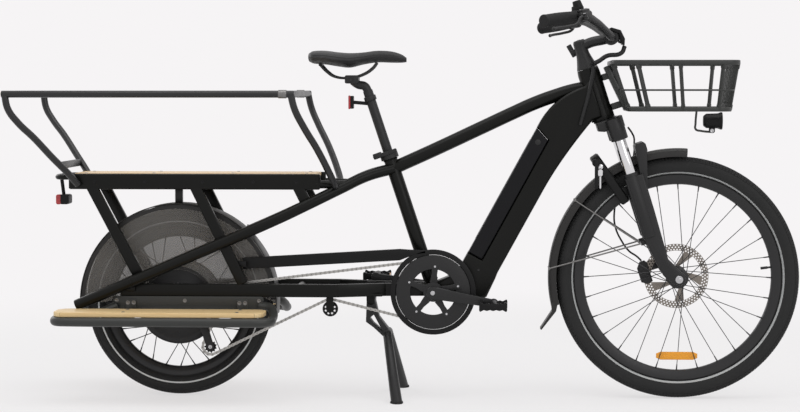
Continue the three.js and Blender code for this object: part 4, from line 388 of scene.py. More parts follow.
def bevelEdges(bm, edges, offset, segments):
    bmesh.ops.bevel(
        bm, geom=list(edges), offset=offset, segments=segments, profile=0.5, affect="EDGES", material=-1)


def extrudeFaces(bm, faces, shift):
    made = bmesh.ops.extrude_face_region(bm, geom=faces)["geom"]
    moved = [g for g in made if isinstance(g, bmesh.types.BMVert)]
    bmesh.ops.translate(bm, verts=moved, vec=shift)
    return [g for g in made if isinstance(g, bmesh.types.BMFace)]


def turnTo(direction):
    return Vector(direction).to_track_quat("Z", "Y").to_matrix().to_4x4()


def addRod(bm, start, end, radius, sides=20, endRadius=None, edge=0.0):
    run = end - start
    made = bmesh.ops.create_cone(
        bm, cap_ends=True, segments=sides, radius1=radius, radius2=radius if endRadius is None else endRadius,
        depth=run.length, matrix=Matrix.Translation((start + end) / 2) @ turnTo(run))
    if edge:
        bevelEdges(bm, {e for v in made["verts"] for f in v.link_faces if len(f.verts) > 4 for e in f.edges}, edge,
                   2)
    return made["verts"]


def addBox(bm, low, high, edge=0.0, segments=2, matrix=Matrix.Identity(4)):
    size = Vector(high) - Vector(low)
    middle = (Vector(high) + Vector(low)) / 2
    made = bmesh.ops.create_cube(bm, size=1,
                                 matrix=matrix @ Matrix.Translation(middle) @ Matrix.Diagonal((*size, 1)))
    if edge:
        bevelEdges(bm, {e for v in made["verts"] for e in v.link_edges}, edge, segments)


def addBar(bm, start, end, width, height, edge=0.001):
    # a rectangular bar whose width lies across the bike
    run = end - start
    along = run.normalized()
    across = Vector((0, 0, 1)).cross(along)
    across = across.normalized() if across.length > 0.1 else Vector((0, 1, 0))
    turn = Matrix((across, along.cross(across), along)).transposed().to_4x4()
    half = Vector((width, height, run.length)) / 2
    addBox(bm, -half, half, edge, 2, Matrix.Translation((start + end) / 2) @ turn)


def addPlate(bm, outline, low, high, edge=0.0, segments=2):
    # an outline in X and Z with a thickness between two values of Y, all in millimetres
    face = bm.faces.new([bm.verts.new(mm(x, low, z)) for x, z in outline])
    faces = [face] + extrudeFaces(bm, [face], mm(0, high - low, 0))
    if edge:
        bevelEdges(bm, {e for f in faces for e in f.edges}, edge * 0.001, segments)


def addBoard(bm, outline, low, high, edge):
    # an outline in X and Y with a thickness between two heights, in millimetres
    face = bm.faces.new([bm.verts.new(mm(x, y, low)) for x, y in outline])
    faces = [face] + extrudeFaces(bm, [face], mm(0, 0, high - low))
    level = {e for f in faces for e in f.edges if abs(e.verts[0].co.z - e.verts[1].co.z) < 1e-6}
    bevelEdges(bm, level, edge * 0.001, 3)


def addSpun(bm, profile, centre, steps, closed=True, axis=(0, 1, 0)):
    # profile points are radius and distance along the axis, in millimetres from centre
    verts = [bm.verts.new(mm(radius, along, 0)) for radius, along in profile]
    pairs = list(zip(verts, verts[1:])) + ([(verts[-1], verts[0])] if closed else [])
    edges = [bm.edges.new(pair) for pair in pairs]
    before = set(bm.faces)
    origin = (0, 0, 0)
    bmesh.ops.spin(
        bm, geom=verts + edges, cent=origin, axis=(0, 1, 0), angle=-2 * pi, steps=steps, use_merge=True)
    moved = list({v for f in bm.faces if f not in before for v in f.verts})
    turn = Vector((0, 1, 0)).rotation_difference(Vector(axis)).to_matrix()
    bmesh.ops.rotate(bm, verts=moved, cent=origin, matrix=turn)
    bmesh.ops.translate(bm, verts=moved, vec=centre)


def addTube(bm, points, radius, sides=12, closed=False, resolution=8):
    # a round section along a smooth curve through the points
    curve = bpy.data.curves.new("path", "CURVE")
    curve.dimensions = "3D"
    spline = curve.splines.new("BEZIER")
    spline.bezier_points.add(len(points) - 1)
    spline.use_cyclic_u = closed
    spline.resolution_u = resolution
    for knot, point in zip(spline.bezier_points, points):
        knot.co = point
        knot.handle_left_type = knot.handle_right_type = "AUTO"
    curve.bevel_depth = radius
    curve.bevel_resolution = max(0, sides // 2 - 2)
    curve.use_fill_caps = not closed
    holder = linkObject("path", curve)
    bpy.context.view_layer.update()
    mesh = bpy.data.meshes.new_from_object(holder.evaluated_get(bpy.context.evaluated_depsgraph_get()))
    bm.from_mesh(mesh)
    bpy.data.objects.remove(holder)
    bpy.data.curves.remove(curve)
    bpy.data.meshes.remove(mesh)


def copyPiece(node, body, finish, edge, angle, smoothAngle=38):
    # a CAD node's mesh, merged, with its flat faces made whole and its sharp edges rounded
    bm = bmesh.new()
    bm.from_mesh(cadNodes[node].data)
    bmesh.ops.remove_doubles(bm, verts=bm.verts, dist=merged)
    bmesh.ops.dissolve_limit(bm, angle_limit=radians(2), verts=bm.verts, edges=bm.edges)
    sharp = [e for e in bm.edges if len(e.link_faces) == 2 and e.calc_face_angle(0) > radians(angle)]
    bmesh.ops.bevel(
        bm, geom=sharp, offset=edge, segments=2, profile=0.5, affect="EDGES", clamp_overlap=True, material=-1)
    finishPiece(bm, node + "Skin", body, finish, [node], smoothAngle, merge=False)


forkFrame = {"tilt": radians(17.7), "axle": (749.5, 335.0), "rake": 63.5}
seatFrame = {"tilt": radians(18.4), "bracket": (74.7, 295.4)}
forkAhead = Vector((cos(forkFrame["tilt"]), 0, sin(forkFrame["tilt"])))
forkUp = Vector((-sin(forkFrame["tilt"]), 0, cos(forkFrame["tilt"])))
seatUp = Vector((-sin(seatFrame["tilt"]), 0, cos(seatFrame["tilt"])))


def forkPoint(ahead, across, up):
    tilt = forkFrame["tilt"]
    footX = forkFrame["axle"][0] - forkFrame["rake"] * cos(tilt)
    footZ = forkFrame["axle"][1] - forkFrame["rake"] * sin(tilt)
    return mm(footX + ahead * cos(tilt) - up * sin(tilt), across, footZ + ahead * sin(tilt) + up * cos(tilt))


def seatPoint(distance):
    x, z = seatFrame["bracket"]
    return mm(x - distance * sin(seatFrame["tilt"]), 0, z + distance * cos(seatFrame["tilt"]))


def addBolt(bm, place, direction, radius=0.004, height=0.003):
    # a washer, a hexagon head and the small recess in its top
    out = Vector(direction).normalized()
    addRod(bm, place, place + out * height * 0.3, radius * 1.45, 16)
    head = addRod(bm, place + out * height * 0.2, place + out * height, radius, 6)
    top = max((f for f in {f for v in head for f in v.link_faces}), key=lambda f: f.calc_center_median().dot(out))
    bmesh.ops.inset_region(bm, faces=[top], thickness=radius * 0.45, depth=-height * 0.4)


def roundedCorners(left, right, low, high, radius, steps=6):
    corners = ((right - radius, low + radius, -90), (right - radius, high - radius, 0),
               (left + radius, high - radius, 90), (left + radius, low + radius, 180))
    return [polar((x, y), radius, radians(first + 90 * i / steps))
            for x, y, first in corners for i in range(steps + 1)]


def around(centre, radius, angle, across):
    # a place in the side view at an angle from straight ahead, all sizes in millimetres
    x, z = polar(centre, radius, angle)
    return mm(x, across, z)


def addDrilledRing(bm, centre, ring):
    # a flat ring whose cells each have a round hole, sheared from row to row
    count, corners = ring["count"], ((0, 0), (0.5, 0), (1, 0), (1, 0.5), (1, 1), (0.5, 1), (0, 1), (0, 0.5))
    step = (ring["outer"] - ring["inner"]) / ring["rows"]
    faces = []

    def corner(row, column, across, up):
        angle = 2 * pi * (column + across + ring["shear"] * (row + up)) / count
        return polar((0, 0), ring["inner"] + step * (row + up), angle)

    for row in range(ring["rows"]):
        for column in range(count):
            outline = [corner(row, column, *share) for share in corners]
            midX, midZ = corner(row, column, 0.5, 0.5)
            inner = []
            for x, z in outline:
                share = ring["hole"] / sqrt((x - midX) ** 2 + (z - midZ) ** 2)
                inner.append((midX + (x - midX) * share, midZ + (z - midZ) * share))
            far, near = [[bm.verts.new(mm(centre[0] + x, ring["low"], centre[1] + z)) for x, z in loop]
                         for loop in (outline, inner)]
            faces += [bm.faces.new((far[k - 1], far[k], near[k], near[k - 1])) for k in range(len(far))]
    thickenRing(bm, faces, ring)


def thickenRing(bm, faces, ring):
    bmesh.ops.remove_doubles(bm, verts=list({v for f in faces for v in f.verts}), dist=merged)
    extrudeFaces(bm, [f for f in faces if f.is_valid], mm(0, ring["high"] - ring["low"], 0))


toothShape = ((0.0, 0.0), (0.16, 0.02), (0.3, 0.45), (0.4, 0.92), (0.5, 1.0), (0.6, 0.92), (0.7, 0.45),
              (0.84, 0.02), (1.0, 0.0))


def addToothedRing(bm, centre, ring):
    # one sector of plate for each tooth, its tip a rounded trapezium
    faces = []
    for i in range(ring["teeth"]):
        places = [(share, ring["tip"] - ring["depth"] * (1 - rise)) for share, rise in toothShape]
        places += [(share, ring["inner"]) for share in (1, 0.5, 0)]
        faces.append(bm.faces.new([
            bm.verts.new(around(centre, radius, 2 * pi * (i + share) / ring["teeth"], ring["low"]))
            for share, radius in places]))
    thickenRing(bm, faces, ring)


def mirrorPoints(points, side):
    return [mm(x, side * y, z) for x, y, z in points]


# Wheels
frontWheel = {
    "body": "front_wheel", "axle": (749.5, 335), "radius": 335, "width": 56, "bead": 279.5, "rimInner": 257.5,
    "rimWidth": 28, "steps": 216, "spokes": 28, "spokeRadius": 1.1, "flangeRadius": 29, "flangeAt": 30,
    "flangeThick": 5.4, "crossShare": 0.17, "bandAt": 0.8, "bandWide": 0.075,
}
rearWheel = {
    "body": "rear_wheel", "axle": (-638, 261), "radius": 261, "width": 60, "bead": 203, "rimInner": 182.5,
    "rimWidth": 30, "steps": 168, "spokes": 28, "spokeRadius": 1.3, "flangeRadius": 117, "flangeAt": 20,
    "flangeThick": 5, "crossShare": 0.035, "bandAt": 0.6, "bandWide": 0.07,
}
treadValues = {
    "height": 1.5, "inset": 0.9, "base": 0.1, "crown": 0.46, "rowEnds": (0, 0.17, 0.36, 0.54, 0.7, 0.83),
    "wall": ((0.3, 0.93), (0.42, 0.985), (0.52, 0.98), (0.64, 0.93), (0.76, 0.82)), "seat": 0.86,
    "blocksTo": 0.35, "bandRaised": 0.35, "bandSunk": 0.4,
}


def tyreHalf(w):
    # from the middle of the tread to the bead: radius and distance from the wheel's middle plane
    t, rise, half, seat = treadValues, w["radius"] - w["bead"], w["width"] / 2, w["rimWidth"] / 2 - 2.9
    top = w["radius"] - (t["height"] + t["base"])
    points = [(top - rise * t["crown"] * (1 - cos(asin(share))), half * share) for share in t["rowEnds"]]
    points += [(w["radius"] - rise * down, half * wide) for down, wide in t["wall"]]
    return points + [(w["radius"] - rise * t["seat"], seat), (w["bead"] + 0.6, seat)]


def buildTyre(w, name, node):
    half = tyreHalf(w)
    profile = [(r, -y) for r, y in reversed(half)] + [(r, y) for r, y in half[1:]]
    bm = bmesh.new()
    centre = sideAt(w["axle"])
    addSpun(bm, profile, centre, w["steps"])
    bmesh.ops.remove_doubles(bm, verts=bm.verts, dist=1e-6)
    bmesh.ops.recalc_face_normals(bm, faces=bm.faces)
    edgeRow = w["width"] / 2 * treadValues["rowEnds"][-1] + 0.2
    lowest = w["radius"] - (w["radius"] - w["bead"]) * treadValues["blocksTo"]
    blocks = []
    for face in bm.faces:
        place = (face.calc_center_median() - centre) * 1000
        if abs(place.y) < edgeRow and sqrt(place.x ** 2 + place.z ** 2) > lowest:
            blocks.append(face)
    bmesh.ops.inset_individual(
        bm, faces=blocks, thickness=treadValues["inset"] * 0.001, depth=treadValues["height"] * 0.001)
    finishPiece(bm, name, w["body"], "tyreRubber", [node], 40, merge=False)


def tyreAcross(w, radius):
    # how far out the sidewall is at a radius
    points = tyreHalf(w)
    for (r1, y1), (r2, y2) in zip(points, points[1:]):
        if r2 <= radius <= r1:
            return y1 + (y2 - y1) * (r1 - radius) / (r1 - r2)
    return points[-1][1]


def buildBand(w, name):
    # the thin reflective ring moulded on each sidewall
    bm = bmesh.new()
    rise = w["radius"] - w["bead"]
    middle, wide = w["radius"] - rise * w["bandAt"], rise * w["bandWide"] / 2
    low, high = middle - wide, middle + wide
    raised, sunk = treadValues["bandRaised"], treadValues["bandSunk"]
    for side in (-1, 1):
        section = [(radius, side * (tyreAcross(w, radius) + rise))
                   for radius, rise in ((low, -sunk), (low, raised), (high, raised), (high, -sunk))]
        addSpun(bm, section, sideAt(w["axle"]), 144)
    finishPiece(bm, name, w["body"], "reflectiveBand")


def addRimRod(bm, w, number, out, inward, radius, sides, edge=0.0):
    # an eyelet, or a part of the valve, on the line of a spoke's number
    angle = 2 * pi * number / w["spokes"]
    start, end = [around(w["axle"], w["rimInner"] + reach, angle, 0) for reach in (out, inward)]
    addRod(bm, start, end, radius, sides, edge=edge)


def buildRim(w, name, node):
    half, lip = w["rimWidth"] / 2, (w["radius"] - w["bead"]) * 0.08
    section = [
        (w["bead"] + lip, half), (w["bead"] + lip, half - 2.3), (w["bead"], half - 2.3),
        (w["bead"] - 3, half - 4.5),
        (w["bead"] - 7, 0), (w["bead"] - 3, 4.5 - half), (w["bead"], 2.3 - half), (w["bead"] + lip, 2.3 - half),
        (w["bead"] + lip, -half), (w["bead"] - 5, -half * 0.98), (w["rimInner"] + 3, -half * 0.62),
        (w["rimInner"] + 0.3, -half * 0.34), (w["rimInner"] + 0.3, half * 0.34), (w["rimInner"] + 3, half * 0.62),
        (w["bead"] - 5, half * 0.98),
    ]
    bm = bmesh.new()
    centre = sideAt(w["axle"])
    addSpun(bm, section, centre, 120)
    for i in range(w["spokes"]):
        addRimRod(bm, w, i, 1.5, -0.2, 0.0035, 10)
    addRimRod(bm, w, 0.5, 2, -24, 0.0028, 12)
    addRimRod(bm, w, 0.5, -8, -27, 0.0038, 12, 0.0006)
    finishPiece(bm, name, w["body"], "rimBlack", [node])


def buildSpokes(w, name):
    # each spoke from its flange to the rim, with its nipple at the end
    bm = bmesh.new()
    for i in range(w["spokes"]):
        side = 1 if i % 2 else -1
        lean = 1 if i % 4 < 2 else -1
        rimAngle = 2 * pi * i / w["spokes"]
        hubAngle = rimAngle + lean * w["crossShare"] * 2 * pi
        sunk = w["flangeRadius"] - w["flangeThick"]
        out = w["flangeAt"] + lean * w["flangeThick"] * 0.27
        start = around(w["axle"], sunk, hubAngle, side * out)
        end = around(w["axle"], w["rimInner"], rimAngle, side * w["rimWidth"] * 0.08)
        addRod(bm, start, end, w["spokeRadius"] * 0.001, 8)
        addRod(bm, end + (start - end).normalized() * 0.014, end, 0.0016, 8, 0.0021)
        addRod(bm, start - Vector((0, side * 0.004, 0)), start + Vector((0, side * 0.004, 0)), 0.002, 8)
    finishPiece(bm, name, w["body"], "spokeSteel")


hubValues = {
    "frontHalf": [(6.5, 46), (13.5, 46), (14, 45.4), (14, 40), (18.6, 39.6), (19, 38.5), (19, 33.5), (27.5, 32.9),
                  (29, 32), (29, 28), (27.5, 27.2), (20, 27), (19.4, 25), (21, 19), (23.4, 13), (24, 6)],
    "rear": [(6.5, -39.4), (19.5, -39.4), (20, -38.9), (20, -37), (58, -36.9), (60, -35.8), (96, -35.6),
             (101, -36.6), (105, -36.4), (116, -28), (117, -26.5), (117, -22), (112, -21), (112, 21), (117, 22),
             (117, 26.5), (116, 28), (105, 36.4), (101, 36.6), (96, 35.6), (60, 35.8), (58, 36.9), (20, 37),
             (20, 50.5), (15, 50.8), (15, 53.2), (19.5, 53.4), (14, 63.6), (6.5, 63.9)],
    "bolts": 6, "boltsAt": 84,
}


def buildFrontHub():
    w, half = frontWheel, hubValues["frontHalf"]
    bm = bmesh.new()
    profile = [(r, -y) for r, y in half] + [(r, y) for r, y in reversed(half)]
    addSpun(bm, profile, sideAt(w["axle"]), 48)
    finishPiece(bm, "frontHubShell", w["body"], "rimBlack", ["front_hub"])


def buildRearHub():
    w, h = rearWheel, hubValues
    bm = bmesh.new()
    addSpun(bm, h["rear"], sideAt(w["axle"]), 72)
    for i in range(h["bolts"]):
        angle = 2 * pi * (i + 0.5) / h["bolts"]
        for side in (-1, 1):
            addBolt(bm, around(w["axle"], h["boltsAt"], angle, side * 35.4), (0, side, 0), 0.0032, 0.0016)
    finishPiece(bm, "hubMotorShell", w["body"], "satinBlack", ["rear_hub"])


rotorValues = {
    "front": {"inner": 71, "outer": 89.8, "rows": 3, "count": 56, "hole": 2.35, "shear": 0.5, "low": 40.0,
              "high": 42.0},
    "rear": {"inner": 52, "outer": 70.8, "rows": 3, "count": 44, "hole": 2.2, "shear": 0.5, "low": 50.9,
             "high": 53.1},
    "arms": 5, "lean": 0.3, "width": 0.3,
}


def addRotor(bm, centre, ring, carrier, bore):
    addDrilledRing(bm, centre, ring)
    middle = sideAt(centre)
    addSpun(bm, [(bore, ring["low"]), (carrier, ring["low"]), (carrier, ring["high"]), (bore, ring["high"])],
            middle, 48)
    arms = rotorValues["arms"]
    for i in range(arms):
        start = 2 * pi * (i + 1 - rotorValues["width"]) / arms
        width = 2 * pi * rotorValues["width"] / arms
        lean = 2 * pi * rotorValues["lean"] / arms
        places = [polar(centre, ring["inner"] + 0.4, start + width * share) for share in (0, 0.5, 1)]
        places += [polar(centre, carrier - 0.6, start + lean + width * share) for share in (1, 0.5, 0)]
        addPlate(bm, places, ring["low"] + 0.05, ring["high"] - 0.05)
        bolt = start + lean + width / 2
        addBolt(bm, around(centre, carrier - 6, bolt, ring["high"] - 0.2), (0, 1, 0), 0.0032, 0.0022)


def buildRotors():
    bm = bmesh.new()
    addRotor(bm, frontWheel["axle"], rotorValues["front"], 30, 15.2)
    finishPiece(bm, "frontRotor", "front_wheel", "discSteel", ["front_disc"])
    bm = bmesh.new()
    addRotor(bm, rearWheel["axle"], rotorValues["rear"], 24, 15.2)
    finishPiece(bm, "rearRotor", "rear_wheel", "discSteel")


reflectorValues = {
    "below": 219, "half": 3.4, "clips": (-38, 38), "clipHalf": (4, 4.2, 3),
    "outline": [(-57, -6), (-45, -11), (45, -11), (57, -6), (57, 6), (45, 11), (-45, 11), (-57, 6)],
}


def buildReflector():
    r = reflectorValues
    bm = bmesh.new()
    x, z = frontWheel["axle"][0], frontWheel["axle"][1] - r["below"]
    wide, deep, tall = r["clipHalf"]
    addPlate(bm, [(x + a, z + b) for a, b in r["outline"]], -r["half"], r["half"], 1.4, 3)
    for place in r["clips"]:
        addBox(bm, mm(x + place - wide, -deep, z - tall), mm(x + place + wide, deep, z + tall), 0.0008)
    finishPiece(bm, "wheelReflectorLens", "front_wheel", "amberLens", ["wheel_reflector"])


for wheel, label in ((frontWheel, "front"), (rearWheel, "rear")):
    buildTyre(wheel, label + "Tread", label + "_tyre")
    buildBand(wheel, label + "TyreBand")
    buildRim(wheel, label + "RimRing", label + "_rim")
    buildSpokes(wheel, label + "Spokes")
buildFrontHub()
buildRearHub()
buildRotors()
buildReflector()
print("wheels ready")


# Drive
bracketAt = (74.7, 295.4)
chainValues = {"pitch": 12.7, "line": -50, "plateHalf": 4.1, "waist": 3.1, "plate": 0.9, "roller": 3.9}
chainWheels = [
    {"at": bracketAt, "teeth": 44, "turn": -1}, {"at": (-211, 247), "teeth": 13, "turn": 1},
    {"at": (-546, 139), "teeth": 11, "turn": -1}, {"at": (-566, 203), "teeth": 11, "turn": 1},
    {"at": rearWheel["axle"], "teeth": 16, "turn": -1},
]


def pitchRadius(teeth):
    return chainValues["pitch"] / 2 / sin(pi / teeth)


def slotOutline(lean, *ends):
    # half a circle at each end of a straight piece, from their centres and radii
    return [polar(centre, radius, lean + radians(first + 180 * k / 8))
            for (centre, radius), first in zip(ends, (90, -90)) for k in range(9)]


def tangentAngle(a, b):
    runX, runZ = b["at"][0] - a["at"][0], b["at"][1] - a["at"][1]
    rise = b["turn"] * pitchRadius(b["teeth"]) - a["turn"] * pitchRadius(a["teeth"])
    return atan2(runZ, runX) - asin(rise / sqrt(runX ** 2 + runZ ** 2))


def chainRoute():
    # the centre line of the pins in small steps, round every wheel and along each run
    count = len(chainWheels)
    leave = [tangentAngle(w, chainWheels[(i + 1) % count]) for i, w in enumerate(chainWheels)]
    points = []
    for i, w in enumerate(chainWheels):
        start = leave[i - 1] - w["turn"] * pi / 2
        end = leave[i] - w["turn"] * pi / 2
        sweep = (end - start) * w["turn"] % (2 * pi)
        steps = max(2, int(sweep * 24))
        for k in range(steps + 1):
            angle = start + w["turn"] * sweep * k / steps
            points.append(polar(w["at"], pitchRadius(w["teeth"]), angle))
    return points


def pinPlaces():
    route = chainRoute()
    route.append(route[0])
    lengths = [sqrt((b[0] - a[0]) ** 2 + (b[1] - a[1]) ** 2) for a, b in zip(route, route[1:])]
    total = sum(lengths)
    count = 2 * round(total / chainValues["pitch"] / 2)
    pins, travelled, part = [], 0.0, 0
    for i in range(count):
        target = total * i / count
        while travelled + lengths[part] < target:
            travelled += lengths[part]
            part += 1
        share = (target - travelled) / lengths[part] if lengths[part] else 0
        a, b = route[part], route[part + 1]
        pins.append((a[0] + (b[0] - a[0]) * share, a[1] + (b[1] - a[1]) * share))
    return pins


def linkOutline(a, b):
    # a figure of eight: a half round at each pin and a waist between
    half, waist = chainValues["plateHalf"], chainValues["waist"]
    length = sqrt((b[0] - a[0]) ** 2 + (b[1] - a[1]) ** 2)
    along = ((b[0] - a[0]) / length, (b[1] - a[1]) / length)
    points = []
    for centre, first in ((0, 90), (length, -90)):
        points += [polar((centre, 0), half, radians(first + 45 * k)) for k in range(5)]
        points.append((length / 2, -waist if centre == 0 else waist))
    return [(a[0] + x * along[0] - z * along[1], a[1] + x * along[1] + z * along[0]) for x, z in points]


def buildChain():
    pins = pinPlaces()
    plates, rollers = bmesh.new(), bmesh.new()
    line, thick = chainValues["line"], chainValues["plate"]
    for i, pin in enumerate(pins):
        following = pins[(i + 1) % len(pins)]
        near = 2.2 if i % 2 else 1.2
        for side in (-1, 1):
            low, high = sorted((line + side * near, line + side * (near + thick)))
            addPlate(plates, linkOutline(pin, following), low, high)
        addRod(rollers, sideAt(pin, line - 3.2), sideAt(pin, line + 3.2), 0.0018, 8)
        addRod(rollers, sideAt(pin, line - 1.2), sideAt(pin, line + 1.2), chainValues["roller"] * 0.001, 10)
    finishPiece(plates, "chainPlates", "frame", "chainSteel", ["chain"], 30)
    finishPiece(rollers, "chainRollers", "frame", "toolSteel", (), 30, merge=False)


crankValues = {"length": 170, "angle": radians(-9.7), "hub": 17, "tip": 11, "eye": 14, "near": 76, "far": 90}


def crankEnd(turn):
    return polar(bracketAt, crankValues["length"], crankValues["angle"] + turn)


def addCrankArm(bm, turn, side):
    c, end = crankValues, crankEnd(turn)
    low, high = spread(side, c["near"], c["far"])
    addPlate(bm, slotOutline(c["angle"] + turn, (bracketAt, c["hub"]), (end, c["tip"])), low, high, 2.4, 3)
    for place, radius in ((end, c["eye"] - 0.4), (bracketAt, c["hub"])):
        addRod(bm, sideAt(place, low + 0.1), sideAt(place, high - 0.1), radius * 0.001, 40, edge=0.0015)


guardValues = {
    "outer": 103, "inner": 64, "carrier": 27, "arms": 5, "first": 0.19, "boltAt": 71,
    "arm": ((26, 11), (48, 7.5), (66, 8.5), (79, 12), (79, -12), (66, -8.5), (48, -7.5), (26, -11)),
}
ringDepths = {"whole": 4.9, "chainring": 5, "cassette": 3.6, "jockey": 3.2}


def ringTip(teeth):
    return pitchRadius(teeth) - ringDepths["whole"]


def addTeeth(bm, centre, teeth, kind, inner, low, high):
    ring = {"teeth": teeth, "tip": ringTip(teeth), "depth": ringDepths[kind], "inner": inner, "low": low,
            "high": high}
    addToothedRing(bm, centre, ring)


def buildCranks():
    bm = bmesh.new()
    g = guardValues
    angles = [2 * pi * (i + g["first"]) / g["arms"] for i in range(g["arms"])]
    addCrankArm(bm, 0, -1)
    middle = sideAt(bracketAt)
    addSpun(bm, [(g["inner"], -59.2), (g["outer"] - 2, -60), (g["outer"], -59), (g["outer"], -57),
                 (g["outer"] - 2, -56), (g["inner"], -56.6), (g["inner"] - 1, -57.9)], middle, 96)
    addSpun(bm, [(9.2, -82), (16.8, -82), (17, -61), (22, -60.4), (g["carrier"], -60), (g["carrier"], -56),
                 (9.2, -56)], middle, 48)
    for angle in angles:
        outline = [polar(polar(bracketAt, radius, angle), half, angle + pi / 2) for radius, half in g["arm"]]
        addPlate(bm, outline, -59.9, -56.1, 1.1, 3)
    finishPiece(bm, "crankArmRight", "crank", "satinBlack", ["crank_right"])
    bm = bmesh.new()
    addCrankArm(bm, pi, 1)
    addRod(bm, sideAt(bracketAt, -75), sideAt(bracketAt, 77), 0.0085, 24)
    finishPiece(bm, "crankArmLeft", "crank", "satinBlack", ["crank_left"])
    bm = bmesh.new()
    for side in (-1, 1):
        outer = side * 90.3
        addRod(bm, sideAt(bracketAt, outer - side * 3), sideAt(bracketAt, outer), 0.0062, 32, edge=0.0006)
    for angle in angles:
        addBolt(bm, around(bracketAt, g["boltAt"], angle, -59.7), (0, -1, 0), 0.0021, 0.0012)
    finishPiece(bm, "crankBolts", "crank", "boltSteel")
    bm = bmesh.new()
    addTeeth(bm, bracketAt, 44, "chainring", 66, -51.2, -48.8)
    for angle in angles:
        addRod(bm, around(bracketAt, g["boltAt"], angle, -55.7), around(bracketAt, g["boltAt"], angle, -48), 0.0048,
               16)
    finishPiece(bm, "chainringTeeth", "crank", "rimBlack", ["chainring"], 30)


pedalValues = {
    "axle": (78, 95), "barrel": (96, 181.6), "plates": (96, 177), "thick": 4.8, "teeth": (12.8, 8.2, 10.6),
    "span": (99, 179), "bars": (30, 36), "barHalf": 7.6, "rungAt": 14, "rungHalf": (4, 4.6),
    "lens": (35.4, 37.4), "lensSpan": (112, 166), "lensHalf": 5.6,
}


def pedalOutline():
    # a toothed edge below and, turned half round, above
    crest, deep, shallow = pedalValues["teeth"]
    edge = [(-38, -9), (-36, -crest)]
    edge += [(-34 + 68 * i / 8, -crest if i in (0, 8) else (-deep if i % 2 else -shallow)) for i in range(9)]
    edge += [(36, -crest), (38, -9)]
    return edge + [(-x, -z) for x, z in edge]


def buildPedal(side, turn, label):
    p = pedalValues
    x, z = crankEnd(turn)
    bm = bmesh.new()
    addRod(bm, *[mm(x, side * y, z) for y in p["axle"]], 0.0085, 24, edge=0.0006)
    addRod(bm, *[mm(x, side * y, z) for y in p["barrel"]], 0.0118, 24, 0.0105, edge=0.0008)
    for y in p["plates"]:
        addPlate(bm, [(x + a, z + b) for a, b in pedalOutline()], *spread(side, y, y + p["thick"]), 0.7, 2)
    low, high = spread(side, *p["span"])
    wide, tall = p["rungHalf"]
    for end in (-1, 1):
        first, second = spread(end, *p["bars"])
        addBox(bm, mm(x + first, low, z - p["barHalf"]), mm(x + second, high, z + p["barHalf"]), 0.0014)
        rung = x + end * p["rungAt"]
        addBox(bm, mm(rung - wide, low, z - tall), mm(rung + wide, high, z + tall), 0.0012)
    finishPiece(bm, label + "PedalBody", label + "_pedal", "mouldedPlastic", ["pedal_" + label])
    bm = bmesh.new()
    low, high = spread(side, *p["lensSpan"])
    for end in (-1, 1):
        first, second = spread(end, *p["lens"])
        addBox(bm, mm(x + first, low, z - p["lensHalf"]), mm(x + second, high, z + p["lensHalf"]), 0.0007)
    finishPiece(bm, label + "PedalReflectors", label + "_pedal", "amberLens")


idlerValues = {
    "inner": 8.2, "outer": 18.4, "rows": 1, "count": 8, "hole": 3.3, "shear": 0, "low": -54.3, "high": -45.7,
    "holesAt": 13.3,
    "eyelet": [(1.9, -54.35), (3.25, -54.35), (3.25, -54.1), (1.9, -54.1)],
}


def buildIdler():
    at, count = chainWheels[1]["at"], idlerValues["count"]
    bm = bmesh.new()
    tip = ringTip(13)
    addDrilledRing(bm, at, idlerValues)
    addSpun(bm, [(18.2, -54.2), (20.5, -54.4), (tip, -52.5), (tip, -47.5), (20.5, -45.6), (18.2, -45.8)],
            sideAt(at), 64)
    addSpun(bm, [(5.8, -54.4), (8.4, -54.4), (8.4, -45.6), (5.8, -45.6)], sideAt(at), 32)
    finishPiece(bm, "idlerWheel", "idler", "mouldedPlastic", ["idler"], 30)
    bm = bmesh.new()
    for i in range(count):
        addSpun(bm, idlerValues["eyelet"], around(at, idlerValues["holesAt"], 2 * pi * (i + 0.5) / count, 0), 16)
    finishPiece(bm, "idlerEyelets", "idler", "boltSteel", (), 30)


def buildCassette():
    at = rearWheel["axle"]
    bm = bmesh.new()
    for teeth, low in ((30, -43), (23, -45), (16, -51)):
        addTeeth(bm, at, teeth, "cassette", 15, low, low + 1.9)
    addSpun(bm, [(6.5, -60.8), (15, -61), (19, -60), (21.8, -59), (21.8, -41.1), (6.5, -41.1)], sideAt(at), 40)
    finishPiece(bm, "cassetteCogs", "cassette", "toolSteel", ["cassette"], 30)


derailleurValues = {
    "cage": (11.6, 10.6), "knuckle": (-572, 205), "arm": (-606, 236), "bolt": (-612, 252),
    "hanger": [(-625, 227), (-618, 226), (-606, 228), (-598.5, 236), (-600, 250), (-611, 261.5), (-625, 261.5)],
}


